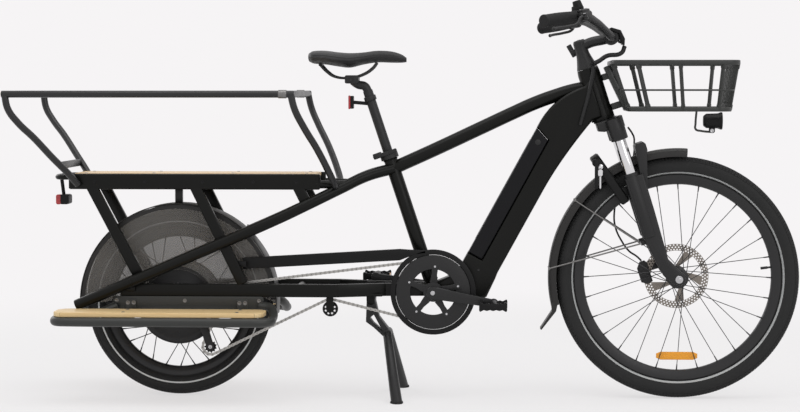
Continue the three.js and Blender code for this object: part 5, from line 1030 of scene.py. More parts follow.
def buildDerailleur():
    d = derailleurValues
    lower, upper = [wheel["at"] for wheel in chainWheels[2:4]]
    lean = atan2(lower[1] - upper[1], lower[0] - upper[0])
    bm = bmesh.new()
    addPlate(bm, slotOutline(lean, *zip((upper, lower), d["cage"])), -58.4, -55.2, 0.8, 2)
    addRod(bm, sideAt(d["knuckle"], -66.4), sideAt(d["knuckle"], -56.6), 0.0138, 32, edge=0.0022)
    addBar(bm, sideAt(d["arm"], -63.5), sideAt(d["knuckle"], -63.5), 0.0076, 0.02, 0.0026)
    addPlate(bm, d["hanger"], -67, -61.6, 1.6, 3)
    addRod(bm, sideAt(d["bolt"], -67.1), sideAt(d["bolt"], -61), 0.0075, 24, edge=0.001)
    finishPiece(bm, "derailleurBody", "frame", "satinBlack", ["derailleur"])
    bm = bmesh.new()
    for place in (upper, lower):
        addTeeth(bm, place, 11, "jockey", 5, -51.5, -48.5)
        addRod(bm, sideAt(place, -58), sideAt(place, -48.6), 0.0052, 20)
    finishPiece(bm, "jockeyWheels", "frame", "mouldedPlastic")
    bm = bmesh.new()
    for place in (upper, lower):
        addBolt(bm, sideAt(place, -58.2), (0, -1, 0), 0.0036, 0.0022)
    addBolt(bm, sideAt(d["knuckle"], -66), (0, -1, 0), 0.005, 0.0012)
    finishPiece(bm, "derailleurBolts", "frame", "boltSteel")


chaincaseValues = {"outer": 118, "inner": 104, "low": -62, "high": -54.6, "barHigh": -43, "rear": -454}


def buildChaincase():
    c = chaincaseValues
    bm = bmesh.new()
    middle = sideAt(bracketAt)
    ring = [(c["inner"], -55), (c["inner"], -61), (c["inner"] + 1, -62), (c["outer"] - 2.4, -62),
            (c["outer"], -60.4), (c["outer"], -55), (c["outer"] - 1.6, -54.6), (c["outer"] - 2.6, -58.6),
            (c["inner"] + 2.2, -58.6)]
    addSpun(bm, ring, middle, 112)
    arm = [(c["rear"], 357), (c["rear"], 388), (-17, 414), (54.7, 411.3), (54.7, 402.4), (20, 398), (-17, 383)]
    addPlate(bm, arm, c["low"], c["high"], 1.6, 3)
    hood = [(c["rear"], 357), (c["rear"], 388), (-17, 414), (20, 411), (20, 398), (-17, 386)]
    addPlate(bm, hood, c["low"] + 2, c["barHigh"], 1.4, 2)
    addBox(bm, mm(20, c["low"] + 0.5, 396), mm(54, -16, 405), 0.0012)
    addBox(bm, mm(-486, -76.6, 364), mm(-442, -60.1, 380), 0.001)
    finishPiece(bm, "chaincaseShell", "frame", "mouldedPlastic", ["chaincase"])
    bm = bmesh.new()
    for x, z in ((-440, 373), (-60, 399), (36, 404)):
        addBolt(bm, mm(x, c["low"] + 0.9, z), (0, -1, 0), 0.0036, 0.0009)
    finishPiece(bm, "chaincaseScrews", "frame", "boltSteel")


buildChain()
buildCranks()
buildPedal(-1, 0, "right")
buildPedal(1, pi, "left")
buildIdler()
buildCassette()
buildDerailleur()
buildChaincase()
print("drive ready")


# Frame
def forkSide(ahead, up):
    place = forkPoint(ahead, 0, up) * 1000
    return place.x, place.z


def tubePoint(along, across):
    tilt = radians(28.8)
    return 137 + along * sin(tilt) + across * cos(tilt), 345 + along * cos(tilt) - across * sin(tilt)


def quadratic(start, control, end, steps=8):
    return [tuple((1 - t) ** 2 * a + 2 * t * (1 - t) * b + t ** 2 * c for a, b, c in zip(start, control, end))
            for t in [i / steps for i in range(1, steps + 1)]]


def arcPoints(centre, radius, start, end, steps):
    return [polar(centre, radius, radians(start + (end - start) * i / steps)) for i in range(steps + 1)]


def addWeld(bm, centre, axis, radius, thick=0.0026):
    # a ring of weld bead round a joint
    turn = turnTo(axis)
    points = [centre + turn @ Vector((*polar((0, 0), radius, 2 * pi * i / 16), 0)) for i in range(16)]
    addTube(bm, points, thick, 8, closed=True, resolution=3)


downTubeValues = {
    "half": 36, "edge": 9, "slot": ((68, 0), (68, 45), (446.25, 45), (462, 0)), "shellHalf": 34,
    "head": [(22, 479), (33, 479), (33, 493), (31, 507), (31, 612), (29.1, 626), (22, 626)],
}


def buildDownTube():
    d = downTubeValues
    bm = bmesh.new()
    outline = [tubePoint(0, 0)] + [tubePoint(*place) for place in d["slot"]] + [tubePoint(485, 0)]
    outline += quadratic(tubePoint(485, 0), tubePoint(566, 4), forkSide(-21.7, 582))
    outline += [forkSide(0, 600), forkSide(0, 485), forkSide(-31, 485)]
    outline += quadratic(forkSide(-31, 485), tubePoint(420, 100), tubePoint(320, 100), 10)
    outline += [tubePoint(58, 100), (246, 331), (222, 280), (202, 271), (74.7, 271.4), (74.7, 319.4)]
    addPlate(bm, outline, -d["half"], d["half"], d["edge"], 4)
    addSpun(bm, d["head"], forkPoint(0, 0, 0), 48, axis=forkUp)
    shell = [(17, -d["shellHalf"]), (23, -d["shellHalf"]), (24, -d["shellHalf"] + 1)]
    shell += [(r, -y) for r, y in reversed(shell)]
    addSpun(bm, shell, sideAt(bracketAt), 48)
    finishPiece(bm, "downTubeShell", "frame", "framePaint", ["down_tube"], 32)
    bm = bmesh.new()
    x, z = tubePoint(40, 50)
    for side in (-1, 1):
        addBolt(bm, mm(x, side * (d["half"] - 0.6), z), (0, side, 0), 0.0036, 0.0014)
    finishPiece(bm, "downTubeScrews", "frame", "satinBlack")


batteryValues = {
    "case": ((68.6, 0.6), (68.6, 44.6), (445.6, 44.6), (461, 0.6)),
    "lid": ((110, -0.2), (110, 4), (424, 4), (424, -0.2)),
    "lock": (428, 22),
}


def buildBattery():
    bm = bmesh.new()
    addPlate(bm, [tubePoint(*place) for place in batteryValues["case"]], -35, 35, 5, 4)
    addPlate(bm, [tubePoint(*place) for place in batteryValues["lid"]], -24, 24, 1.6, 3)
    finishPiece(bm, "batteryCase", "frame", "batteryPlastic", ["battery"])
    bm = bmesh.new()
    for side in (-1, 1):
        place = tubePoint(*batteryValues["lock"])
        addRod(bm, sideAt(place, side * 34), sideAt(place, side * 36), 0.008, 32, edge=0.0006)
        addRod(bm, sideAt(place, side * 35), sideAt(place, side * 36.4), 0.0045, 24, edge=0.0005)
    finishPiece(bm, "batteryLock", "frame", "satinBlack")


tubeValues = {
    "top": [(-39.6, 635), (82.8, 690.5), (202, 746.5), (300, 792.5), (351, 815.5), (409, 837), (470, 854.5),
            (510, 860)],
    "stay": [(-110, 32, 615), (-180, 66, 582), (-262, 98, 542), (-347, 110.5, 501.4), (-600, 114, 392),
             (-904, 119, 261)],
    "welds": ((-755, 116.5, 325), (-455, 112, 455)),
}


def buildMainTubes():
    bm = bmesh.new()
    addTube(bm, [mm(x, 0, z) for x, z in tubeValues["top"]], 0.0185, 28, resolution=8)
    finishPiece(bm, "topTubeShell", "frame", "framePaint", ["top_tube"], 40)
    bm = bmesh.new()
    addRod(bm, seatPoint(25), seatPoint(406), 0.019, 40, edge=0.0012)
    addWeld(bm, seatPoint(30), seatUp, 0.0192)
    addWeld(bm, seatPoint(384), seatUp, 0.0193, 0.0016)
    finishPiece(bm, "seatTubeShell", "frame", "framePaint", ["seat_tube"], 40)
    bm = bmesh.new()
    start = seatPoint(358) * 1000
    for side in (-1, 1):
        path = [(start.x, 9, start.z)] + tubeValues["stay"]
        addTube(bm, mirrorPoints(path, side), 0.0155, 24, resolution=8)
        end = mirrorPoints([tubeValues["stay"][-1]], side)[0]
        addRod(bm, end + Vector((0.01, 0, 0.0043)), end - Vector((0.006, 0, 0.0026)), 0.0158, 28, edge=0.0025)
        for place in mirrorPoints(tubeValues["welds"], side):
            addWeld(bm, place, Vector((0.92, 0, 0.39)), 0.0156, 0.0016)
    finishPiece(bm, "mainStayTubes", "frame", "framePaint", ["main_stays"], 40)


railValues = {"inner": 77, "outer": 95, "low": 282, "high": 318, "rear": -790, "bend": -190, "yoke": (-58, 36)}


def buildLowerRails():
    r = railValues
    centre, middle, wide = (r["inner"] + r["outer"]) / 2, (r["low"] + r["high"]) / 2, r["outer"] - r["inner"]
    bm = bmesh.new()
    for side in (-1, 1):
        ends = spread(side, r["inner"], r["outer"])
        addBox(bm, mm(r["rear"], ends[0], r["low"]), mm(r["bend"] + 3, ends[1], r["high"]), 0.004, 4)
        bend, yoke = mm(r["bend"] - 4, side * centre, middle), mm(r["yoke"][0], side * r["yoke"][1], middle)
        addBar(bm, bend, yoke, wide * 0.001, 0.036, 0.004)
        addBar(bm, mm(r["yoke"][0] - 5, side * r["yoke"][1], middle), mm(bracketAt[0], side * 25, middle), 0.018,
               0.036, 0.004)
        plate = [(-662, 239), (-655, 238), (-621, 238), (-614, 239), (-614, 314), (-662, 314)]
        across = spread(side, 67.5, 79)
        addPlate(bm, plate, *across, 1.6, 3)
        across = spread(side, 93, 101.5)
        addPlate(bm, roundedCorners(-776, -748, 296, 314, 4), *across, 1, 2)
        addPlate(bm, arcPoints((-100, 268), 12, 180, 360, 14) + [(-88, 316), (-112, 316)], *spread(side, 24, 30), 1,
                 2)
        for x in (-650, -626):
            addBolt(bm, mm(x, side * 79, 304), (0, side, 0), 0.0038, 0.0024)
    addRod(bm, mm(-300, -80, middle), mm(-300, 80, middle), 0.012, 32)
    addRod(bm, sideAt(rearWheel["axle"], -81.6), sideAt(rearWheel["axle"], 81.6), 0.006, 28, edge=0.001)
    addBox(bm, mm(-142, -60, 282), mm(-66, 60, 290), 0.002)
    addRod(bm, mm(-100, -26, 268), mm(-100, 26, 268), 0.005, 24)
    addPlate(bm, [(-219, 300), (-221, 248), (-217, 240), (-211, 237), (-205, 240), (-201, 248), (-200, 300)], -77,
             -71.2, 1.4, 3)
    addRod(bm, sideAt(chainWheels[1]["at"], -76), sideAt(chainWheels[1]["at"], -45.4), 0.005, 24, edge=0.0008)
    finishPiece(bm, "lowerRailTubes", "frame", "framePaint", ["lower_rails"], 36)
    bm = bmesh.new()
    for side in (-1, 1):
        addRod(bm, sideAt(rearWheel["axle"], side * 78.6), sideAt(rearWheel["axle"], side * 81.9), 0.011, 6,
               edge=0.001)
        ends = spread(side, 78.4, 93.6)
        addBox(bm, mm(-791.6, ends[0], 283.6), mm(-786, ends[1], 316.4), 0.0018, 3)
    finishPiece(bm, "lowerRailNuts", "frame", "satinBlack")


rackValues = {
    "low": 579, "high": 622, "rear": -932, "front": -236, "inner": 77, "outer": 95,
    "struts": (((-877, 600), (-729, 318)), ((-588, 600), (-450, 318)), ((-303, 600), (-268, 530))),
    "bars": (-905, -640, -262), "barLow": 590, "barHigh": 612,
    "bow": ((-925, 86, 612), (-958, 82, 612), (-972, 50, 612), (-974, 0, 612)),
}


def buildRack():
    r = rackValues
    bm = bmesh.new()
    for side in (-1, 1):
        ends = spread(side, r["inner"], r["outer"])
        addBox(bm, mm(r["rear"], ends[0], r["low"]), mm(r["front"], ends[1], r["high"]), 0.004, 4)
        for top, foot in r["struts"]:
            addBar(bm, sideAt(top, side * 86), sideAt(foot, side * 86), 0.0178, 0.03, 0.0035)
        addRod(bm, mm(-250, side * 86, 594), mm(-160, side * 58, 592), 0.0115, 28)
    for x in r["bars"]:
        addBox(bm, mm(x - 11, -84, r["barLow"]), mm(x + 11, 84, r["barHigh"]), 0.003, 3)
    half = list(r["bow"])
    bow = [mm(x, -y, z) for x, y, z in half] + [mm(x, y, z) for x, y, z in reversed(half[:-1])]
    addTube(bm, bow, 0.007, 16)
    finishPiece(bm, "rackTubes", "frame", "framePaint", ["rack"], 36)
    bm = bmesh.new()
    for side in (-1, 1):
        ends = spread(side, 78.4, 93.6)
        addBox(bm, mm(-933, ends[0], 581), mm(-928, ends[1], 620), 0.0018, 3)
        addBox(bm, mm(-240, ends[0], 581), mm(-235, ends[1], 620), 0.0018, 3)
        for x in (-860, -720, -560, -420, -300):
            addBolt(bm, mm(x, side * 94.6, 600), (0, side, 0), 0.0036, 0.0018)
    finishPiece(bm, "rackCaps", "frame", "mouldedPlastic")
    bm = bmesh.new()
    addBoard(bm, roundedCorners(-921, -246, -76.7, 76.7, 12, 8), 612.4, 623.2, 2)
    finishPiece(bm, "deckBoardPanel", "frame", "deckBamboo", ["deck_board"], 30)
    bm = bmesh.new()
    for x in (-890, -700, -480, -276):
        for side in (-1, 1):
            addBolt(bm, mm(x, side * 60, 622.8), (0, 0, 1), 0.0042, 0.0018)
    finishPiece(bm, "deckScrews", "frame", "boltSteel")


hoopValues = {
    "radius": 9.5, "side": 240, "top": 842, "rearX": -1075, "frontX": -300,
    "rear": [(-905, 103, 592), (-926, 124, 622), (-963, 160, 668), (-1006, 195, 723), (-1044, 223, 766),
             (-1067, 236, 802), (-1075, 240, 842)],
    "front": [(-300, 240, 842), (-290, 235, 802), (-268, 214, 754), (-235, 178, 693), (-203, 128, 620),
              (-195, 104, 597), (-192, 84, 588)],
}


def buildPassengerRail():
    h = hoopValues
    bm = bmesh.new()
    radius = h["radius"] * 0.001
    for side in (-1, 1):
        addTube(bm, mirrorPoints(h["rear"], side), radius, 20)
        addTube(bm, mirrorPoints(h["front"], side), radius, 20)
        addRod(bm, mm(h["rearX"] - 9.5, side * h["side"], h["top"]),
               mm(h["frontX"] + 9.5, side * h["side"], h["top"]), radius, 28, edge=0.0035)
    for x in (h["rearX"], h["frontX"]):
        addRod(bm, mm(x, -h["side"], h["top"]), mm(x, h["side"], h["top"]), radius, 28)
    addPlate(bm, roundedCorners(-951, -944, 636, 656, 2, 3), -142, 142, 0.6, 2)
    finishPiece(bm, "passengerHoop", "frame", "railBlack", ["passenger_rail"], 40)
    bm = bmesh.new()
    for side in (-1, 1):
        addSpun(bm, [(9.2, -11), (10.9, -11), (11.4, -10), (11.4, 10), (10.9, 11), (9.2, 11)],
                mm(-322, side * h["side"], h["top"]), 32, axis=(1, 0, 0))
    finishPiece(bm, "hoopClamps", "frame", "toolSteel")


footValues = {
    "rear": -953, "front": -377, "inner": 128, "outer": 240, "low": 239, "high": 251.6, "corner": 34,
    "radius": 12.5,
    "loop": [(-400, 101, 258), (-374, 112, 256), (-360, 140, 244), (-359, 180, 229), (-362, 214, 226),
             (-384, 236, 226), (-420, 240, 226), (-660, 240, 226), (-905, 240, 226), (-938, 232, 226),
             (-951, 205, 226), (-948, 160, 226), (-915, 136, 226), (-840, 118, 240), (-800, 101, 258)],
}


def buildFootBoards():
    f = footValues
    for side, name in ((-1, "right"), (1, "left")):
        bm = bmesh.new()
        addBoard(bm, roundedCorners(f["rear"], f["front"], *spread(side, f["inner"], f["outer"]), f["corner"], 10),
                 f["low"], f["high"], 1.8)
        finishPiece(bm, name + "FootPanel", "frame", "footBamboo", ["footboard_" + name], 30)
        bm = bmesh.new()
        addTube(bm, mirrorPoints(f["loop"], side), f["radius"] * 0.001, 20, resolution=8)
        addPlate(bm, roundedCorners(-812, -392, 247, 284, 7), *spread(side, 95.4, 99.3), 0.8, 2)
        for x in (-760, -450):
            across = spread(side, 95.4, f["outer"])
            addBox(bm, mm(x - 15, across[0], 226), mm(x + 15, across[1], 238.4), 0.002)
            addPlate(bm, roundedCorners(x - 15, x + 15, 226, 276, 4), *spread(side, 95.4, 103.2), 1, 2)
        finishPiece(bm, name + "FootLoop", "frame", "footBlack", ["foot_frame_" + name], 38)
        bm = bmesh.new()
        for x in (-760, -450):
            for offset in (-8, 8):
                addBolt(bm, mm(x + offset, side * 103, 266), (0, side, 0), 0.004, 0.0022)
            for y in (150, 218):
                addBolt(bm, mm(x, side * y, 251.2), (0, 0, 1), 0.0042, 0.0018)
        for x in (-800, -610, -404):
            addBolt(bm, mm(x, side * 99, 272), (0, side, 0), 0.0038, 0.0022)
        finishPiece(bm, name + "FootBolts", "frame", "toolSteel")


fenderValues = {"axle": rearWheel["axle"], "inner": 274, "outer": 277, "half": 43, "start": -7, "end": 187}


def buildRearFender():
    f = fenderValues
    bm = bmesh.new()
    outline = arcPoints(f["axle"], f["outer"], f["start"], f["end"],
                        96) + arcPoints(f["axle"], f["inner"], f["end"], f["start"], 96)
    addPlate(bm, outline, -f["half"], f["half"], 1, 2)
    addBox(bm, mm(-650, -10, 535), mm(-630, 10, 589.6), 0.0015)
    addBox(bm, mm(-370, -10, 296), mm(-312.4, 10, 304), 0.0015)
    finishPiece(bm, "rearFenderBand", "frame", "fenderPlastic", ["rear_fender"], 34)
    edge = arcPoints(f["axle"], 273.1, 0, 180, 90)
    hub = arcPoints(f["axle"], 92, 165, 15, 24)
    outline = edge + [(-843.5, 261), (-761.3, 285), (-730, 285)] + hub + [(-546, 285), (-418.8, 285)]
    for side, name in ((-1, "right"), (1, "left")):
        bm = bmesh.new()
        addPlate(bm, outline, *spread(side, 40.4, 42.3), 0.3, 1)
        finishPiece(bm, name + "GuardPane", "frame", "smokedGuard", ["guard_" + name], 30)
        bm = bmesh.new()
        across = spread(side, 40.1, 42.5)
        rim = arcPoints(f["axle"], 273, 2, 178, 88) + arcPoints(f["axle"], 262, 178, 2, 88)
        addPlate(bm, rim, *across, 0.4, 1)
        rim = arcPoints(f["axle"], 101, 165, 15, 24) + arcPoints(f["axle"], 93, 15, 165, 24)
        addPlate(bm, rim, *across, 0.4, 1)
        finishPiece(bm, name + "GuardRim", "frame", "fenderPlastic")


tailValues = {"lens": (-984, -970, 533, 561, 5), "base": (-973, -948, 533.4, 560.6, 6)}


def buildTailLight():
    bm = bmesh.new()
    addPlate(bm, roundedCorners(*tailValues["lens"]), -26, 26, 2.2, 3)
    finishPiece(bm, "tailLightLens", "frame", "redLens", ["tail_light"], 36)
    bm = bmesh.new()
    addPlate(bm, roundedCorners(*tailValues["base"]), -25.6, 25.6, 1.6, 3)
    addRod(bm, mm(-966, 0, 556), mm(-972, 0, 604), 0.005, 20)
    finishPiece(bm, "tailLightBase", "frame", "mouldedPlastic")


clampValues = {
    "at": 397, "band": [(19.2, -11), (24.4, -11), (25.3, -10), (25.3, 10), (24.4, 11), (19.2, 11)],
}


def buildSeatClamp():
    bm = bmesh.new()
    ear = seatPoint(clampValues["at"])
    addSpun(bm, clampValues["band"], ear, 40, axis=seatUp)
    addBar(bm, ear + mm(-43.3, 0, -6), ear + mm(-20.3, 0, 2), 0.022, 0.016, 0.0022)
    finishPiece(bm, "seatClampBand", "frame", "satinBlack", ["seat_clamp"], 36)


cableValues = {
    "frame": [(14, -40.5, 627.4), (13.6, -40.8, 619), (5, -42, 600), (-20, -42.3, 556), (-44, -42.3, 518),
              (-66, -42.3, 484)],
    "hose": [(-16, 42, 69.4), (-24, 46, 84), (-40, 58, 104), (-50, 66, 132), (-56, 70, 180), (-46, 75, 220),
             (-22, 86, 262), (8, 91, 300), (42, 91, 335), (60, 84, 370), (64, 75, 386), (68, 62, 402),
             (66, 50, 418), (60, 42, 436)],
    "bundle": [(116, -12, 653.8), (102, -16, 639), (60, -28, 643), (34, -36, 636), (20, -38, 634.5)],
}


def addCable(bm, name, radius, sides, resolution):
    addTube(bm, [forkPoint(*place) for place in cableValues[name]], radius, sides, resolution=resolution)


def buildRearBrake():
    copyPiece("rear_caliper", "frame", "satinBlack", 0.0015, 30)
    bm = bmesh.new()
    addCable(bm, "frame", 0.006, 20, 6)
    finishPiece(bm, "frameCableSkin", "frame", "hoseRubber", ["frame_cable"], 40)


buildDownTube()
buildBattery()
buildMainTubes()
buildLowerRails()
buildRack()
buildPassengerRail()
buildFootBoards()
buildRearFender()
buildTailLight()
buildSeatClamp()
buildRearBrake()
print("frame ready")


# Fork and front fender
def addForkBox(bm, low, high, edge=0.002):
    # low and high are ahead, across and up in the fork's own frame, in millimetres
    middle = forkPoint(*[(a + b) / 2 for a, b in zip(low, high)])
    turn = Matrix((forkAhead, Vector((0, 1, 0)), forkUp)).transposed().to_4x4()
    size = [(b - a) * 0.001 / 2 for a, b in zip(low, high)]
    addBox(bm, [-s for s in size], size, edge, 3, Matrix.Translation(middle) @ turn)


def forkOutline(points):
    return [forkSide(*place) for place in points]


legAt = {"ahead": 24, "across": 66}
crownValues = {
    "bridge": [(-24, 452), (-24, 476), (50, 476), (50, 446), (-8, 446)],
    "race": [(14, 474), (28, 474), (28, 477.4), (26.8, 478.6), (14, 478.6)],
}


def legPoint(side, up):
    return forkPoint(legAt["ahead"], side * legAt["across"], up)


def addLegRod(bm, side, low, high, radius, sides=36, edge=0.0):
    addRod(bm, legPoint(side, low), legPoint(side, high), radius, sides, edge=edge)


def buildForkCrown():
    bm = bmesh.new()
    addPlate(bm, forkOutline(crownValues["bridge"]), -62, 62, 6, 4)
    for side in (-1, 1):
        addLegRod(bm, side, 413, 474, 0.024, edge=0.003)
    addRod(bm, forkPoint(0, 0, 474), forkPoint(0, 0, 640), 0.014, 28)
    addSpun(bm, crownValues["race"], forkPoint(0, 0, 0), 40, axis=forkUp)
    finishPiece(bm, "forkCrownBody", "steering", "satinBlack", ["fork_crown"], 34)
    bm = bmesh.new()
    for side in (-1, 1):
        addLegRod(bm, side, 216, 440, 0.016, edge=0.001)
    finishPiece(bm, "stanchionTubes", "steering", "stanchionChrome")
    bm = bmesh.new()
    for side in (-1, 1):
        addLegRod(bm, side, 473.4, 477, 0.0165, edge=0.0012)
        addLegRod(bm, side, 476.4, 478.6, 0.0055, 6)
    finishPiece(bm, "stanchionCaps", "steering", "mouldedPlastic")


lowerOutline = [(4, 307), (4, 150), (17, 62), (26, 22), (44, -6), (63.5, -19), (80.5, -10), (83.5, 6), (71.5, 24),
                (52, 60), (56, 200), (57, 307)]
archOutline = [(38, 270), (57, 262), (88, 368), (88, 380), (84, 388), (62, 388), (58, 380), (48, 311)]
bridgeOutline = [(58, 362), (88, 362), (88, 382), (84, 388), (62, 388), (58, 382)]


def buildForkLowers():
    bm = bmesh.new()
    for side in (-1, 1):
        addPlate(bm, forkOutline(lowerOutline), *spread(side, 52, 80.4), 5.5, 4)
        addLegRod(bm, side, 134, 311, 0.0204, edge=0.003)
        seal = [(16.8, 309), (20.6, 309), (20.6, 315), (19, 317.4), (16.8, 317.4)]
        addSpun(bm, seal, legPoint(side, 0), 36, axis=forkUp)
        addPlate(bm, forkOutline(archOutline), *spread(side, 50.5, 66), 3, 3)
        addRod(bm, forkPoint(14, side * 55.2, 123.4), forkPoint(-5.8, side * 55.2, 123.4), 0.006, 20)
    addPlate(bm, forkOutline(bridgeOutline), -64, 64, 3, 3)
    addForkBox(bm, (-2, 53, 34), (30, 71, 62), 0.003)
    finishPiece(bm, "forkLegs", "lowers", "satinBlack", ["fork_lowers"], 34)
    bm = bmesh.new()
    axle = sideAt(frontWheel["axle"])
    addRod(bm, axle - mm(0, 86, 0), axle + mm(0, 86, 0), 0.006, 28, edge=0.001)
    for side in (-1, 1):
        cap = [(6, side * 80.8), (10.4, side * 80.8), (10.4, side * 83.6), (9, side * 84.6), (6, side * 84.6)]
        addSpun(bm, cap, axle, 32)
        addBolt(bm, forkPoint(-5.4, side * 55.2, 123.4), -forkAhead, 0.0042, 0.0016)
    finishPiece(bm, "frontAxleCaps", "lowers", "boltSteel")


def addArch(bm, centre, section, start, end, steps):
    # a closed section of radius and width, in millimetres, carried along an arc and closed at both ends
    loops = []
    for i in range(steps + 1):
        angle = radians(start + (end - start) * i / steps)
        verts = [bm.verts.new(around(centre, r, angle, y)) for r, y in section]
        loops.append([bm.edges.new((verts[k], verts[(k + 1) % len(verts)])) for k in range(len(verts))])
        if i in (0, steps):
            bm.faces.new(verts)
    for first, second in zip(loops, loops[1:]):
        bmesh.ops.bridge_loops(bm, edges=first + second)


frontFenderValues = {
    "half": [(334.8, 31), (346, 30.9), (352.4, 28.6), (356.2, 23), (357.7, 13)], "thick": 1.4, "start": 86,
    "end": 193,
    "outer": 357, "stayFoot": (-6, 55.2, 123.4), "stayTop": 355, "stayAngles": (143, 176),
}


def fenderSection():
    half = frontFenderValues["half"]
    outer = half + [(358, 0)] + [(r, -y) for r, y in reversed(half)]
    inner = [(r - frontFenderValues["thick"] if abs(y) < 28 else r, y * 0.935) for r, y in reversed(outer)]
    return outer + inner


def buildFrontFender():
    f, axle = frontFenderValues, frontWheel["axle"]
    bm = bmesh.new()
    addArch(bm, axle, fenderSection(), f["start"], f["end"], 84)
    x, z = polar(axle, f["outer"], radians(f["end"]))
    flap = [(x - 1, z + 12), (x + 1, z - 14), (370.5, 191), (374.5, 189), (x + 13, z - 14), (x + 18, z + 10)]
    addPlate(bm, flap, -30, 30, 1.2, 2)
    finishPiece(bm, "frontFenderBand", "lowers", "fenderPlastic", ["front_fender"], 40)
    bm = bmesh.new()
    for side in (-1, 1):
        ahead, across, up = f["stayFoot"]
        foot = forkPoint(ahead, side * across, up)
        for angle in f["stayAngles"]:
            head = around(axle, f["stayTop"], radians(angle), side * 30)
            addRod(bm, foot, head, 0.0022, 16)
            addRod(bm, head, head + mm(0, side * 1, 0), 0.0038, 20, edge=0.0004)
    finishPiece(bm, "fenderStays", "lowers", "toolSteel")


lockValues = {"angle": radians(125.1), "radius": 376, "face": 60.5, "collar": (65.5, 0.0075),
              "plug": (65, 74.5, 0.0042)}


def buildLock():
    copyPiece("ring_lock", "lowers", "mouldedPlastic", 0.0022, 30)
    bm = bmesh.new()
    lock, heel = lockValues, polar(frontWheel["axle"], lockValues["radius"], lockValues["angle"])
    addRod(bm, sideAt(heel, -lock["face"]), sideAt(heel, -lock["collar"][0]), lock["collar"][1], 28, edge=0.0008)
    addRod(bm, sideAt(heel, -lock["plug"][0]), sideAt(heel, -lock["plug"][1]), lock["plug"][2], 20, edge=0.0006)
    x, z = heel[0], heel[1] - 9
    addPlate(bm, roundedCorners(x - 6.5, x + 6.5, z - 17, z + 3, 6, 6), -74, -72.4, 0.4, 1)
    blade = [(x - 2.4, z - 15), (x - 2.4, z - 48), (x, z - 51), (x + 2.4, z - 48), (x + 2.4, z - 15)]
    addPlate(bm, blade, -74, -72.6, 0.3, 1)
    finishPiece(bm, "lockKey", "lowers", "stanchionChrome")


def buildFrontBrake():
    copyPiece("front_caliper", "lowers", "satinBlack", 0.0016, 30)
    bm = bmesh.new()
    addCable(bm, "hose", 0.0026, 14, 5)
    finishPiece(bm, "frontHoseSkin", "lowers", "hoseRubber", ["front_hose"], 40)


# Stem, handlebar and controls
stemValues = {
    "column": [(0, 626.4), (29, 626.4), (28.6, 630), (26, 638), (21, 656), (18.5, 668), (17.5, 700), (16.4, 705),
               (14, 708), (0, 708)],
    "arm": ((0, 0, 688), (30, 0, 692), (64, 0, 689), (88, 0, 687)), "boltsAt": (673, 701),
    "clamp": [(11, -26), (19, -26), (20, -25), (20, 25), (19, 26), (11, 26)],
}


def buildStem():
    s = stemValues
    bm = bmesh.new()
    addSpun(bm, s["column"], forkPoint(0, 0, 0), 48, closed=False, axis=forkUp)
    addTube(bm, [forkPoint(*place) for place in s["arm"]], 0.014, 28)
    addSpun(bm, s["clamp"], forkPoint(*s["arm"][-1]), 44)
    addBar(bm, forkPoint(-22, 18, 668), forkPoint(-30, 18, 704), 0.01, 0.014, 0.002)
    addForkBox(bm, (-30, 8, 676), (-2, 24, 688), 0.002)
    finishPiece(bm, "stemBody", "steering", "satinBlack", ["stem"], 34)
    bm = bmesh.new()
    for side in (-1, 1):
        for up in s["boltsAt"]:
            addBolt(bm, forkPoint(106, side * 18, up), forkAhead, 0.0036, 0.002)
    addBolt(bm, forkPoint(0, 0, 707.4), forkUp, 0.0048, 0.002)
    finishPiece(bm, "stemBolts", "steering", "boltSteel")


gripStart, gripEnd = Vector((10, 230, 764.5)), Vector((-81, 330, 779))
gripRun = (gripEnd - gripStart).normalized()


def gripPoint(side, outward, forward=0.0, up=0.0):
    place = gripStart + gripRun * outward + Vector((0.74, 0.67, 0)) * forward + Vector((0, 0, 1)) * up
    return forkPoint(place.x, side * place.y, place.z)


def gripAxis(side):
    return (gripPoint(side, 10) - gripPoint(side, 0)).normalized()


def buildHandlebar():
    bm = bmesh.new()
    half = [gripPoint(1, 135), gripPoint(1, 60), gripPoint(1, -26)]
    half += [forkPoint(*place) for place in ((54, 150, 739), (70, 106, 716), (84, 62, 693), (88, 34, 687))]
    other = [Vector((p.x, -p.y, p.z)) for p in reversed(half)]
    addTube(bm, half + other, 0.0111, 24, resolution=8)
    finishPiece(bm, "handlebarTube", "steering", "satinBlack", ["handlebar"], 40)
    for side, name in ((-1, "right"), (1, "left")):
        bm = bmesh.new()
        profile = [(11.3, 8), (17.4, 8), (18, 9), (18, 17), (17.2, 18), (15.8, 19)]
        for i in range(22):
            start = 20 + i * 4.9
            swell = 15.4 + 1.5 * sin(pi * (start - 15) / 118)
            profile += [(swell, start), (swell + 0.8, start + 0.9), (swell + 0.8, start + 3.1),
                        (swell, start + 4.0)]
        profile += [(15.8, 129), (17, 130), (17.2, 136), (16, 138), (9, 138.4), (0, 138.4), (0, 136), (11.3, 136)]
        addSpun(bm, profile, gripPoint(side, 0), 44, axis=gripAxis(side))
        finishPiece(bm, name + "GripSleeve", "steering", "gripRubber", ["grip_" + name], 30)


controlValues = {
    "cuff": [(11.3, -18), (16.6, -18), (17.5, -17), (17.5, 5), (16.6, 6), (11.3, 6)],
    "hinge": (22, 42), "lugs": ((-16.5, -13.5), (-3.5, -0.8)),
    "blade": [(22, 42, -8), (36, 41, -8.4), (56, 38, -24), (90, 34, -28), (130, 33, -28), (149, 36, -29)],
}


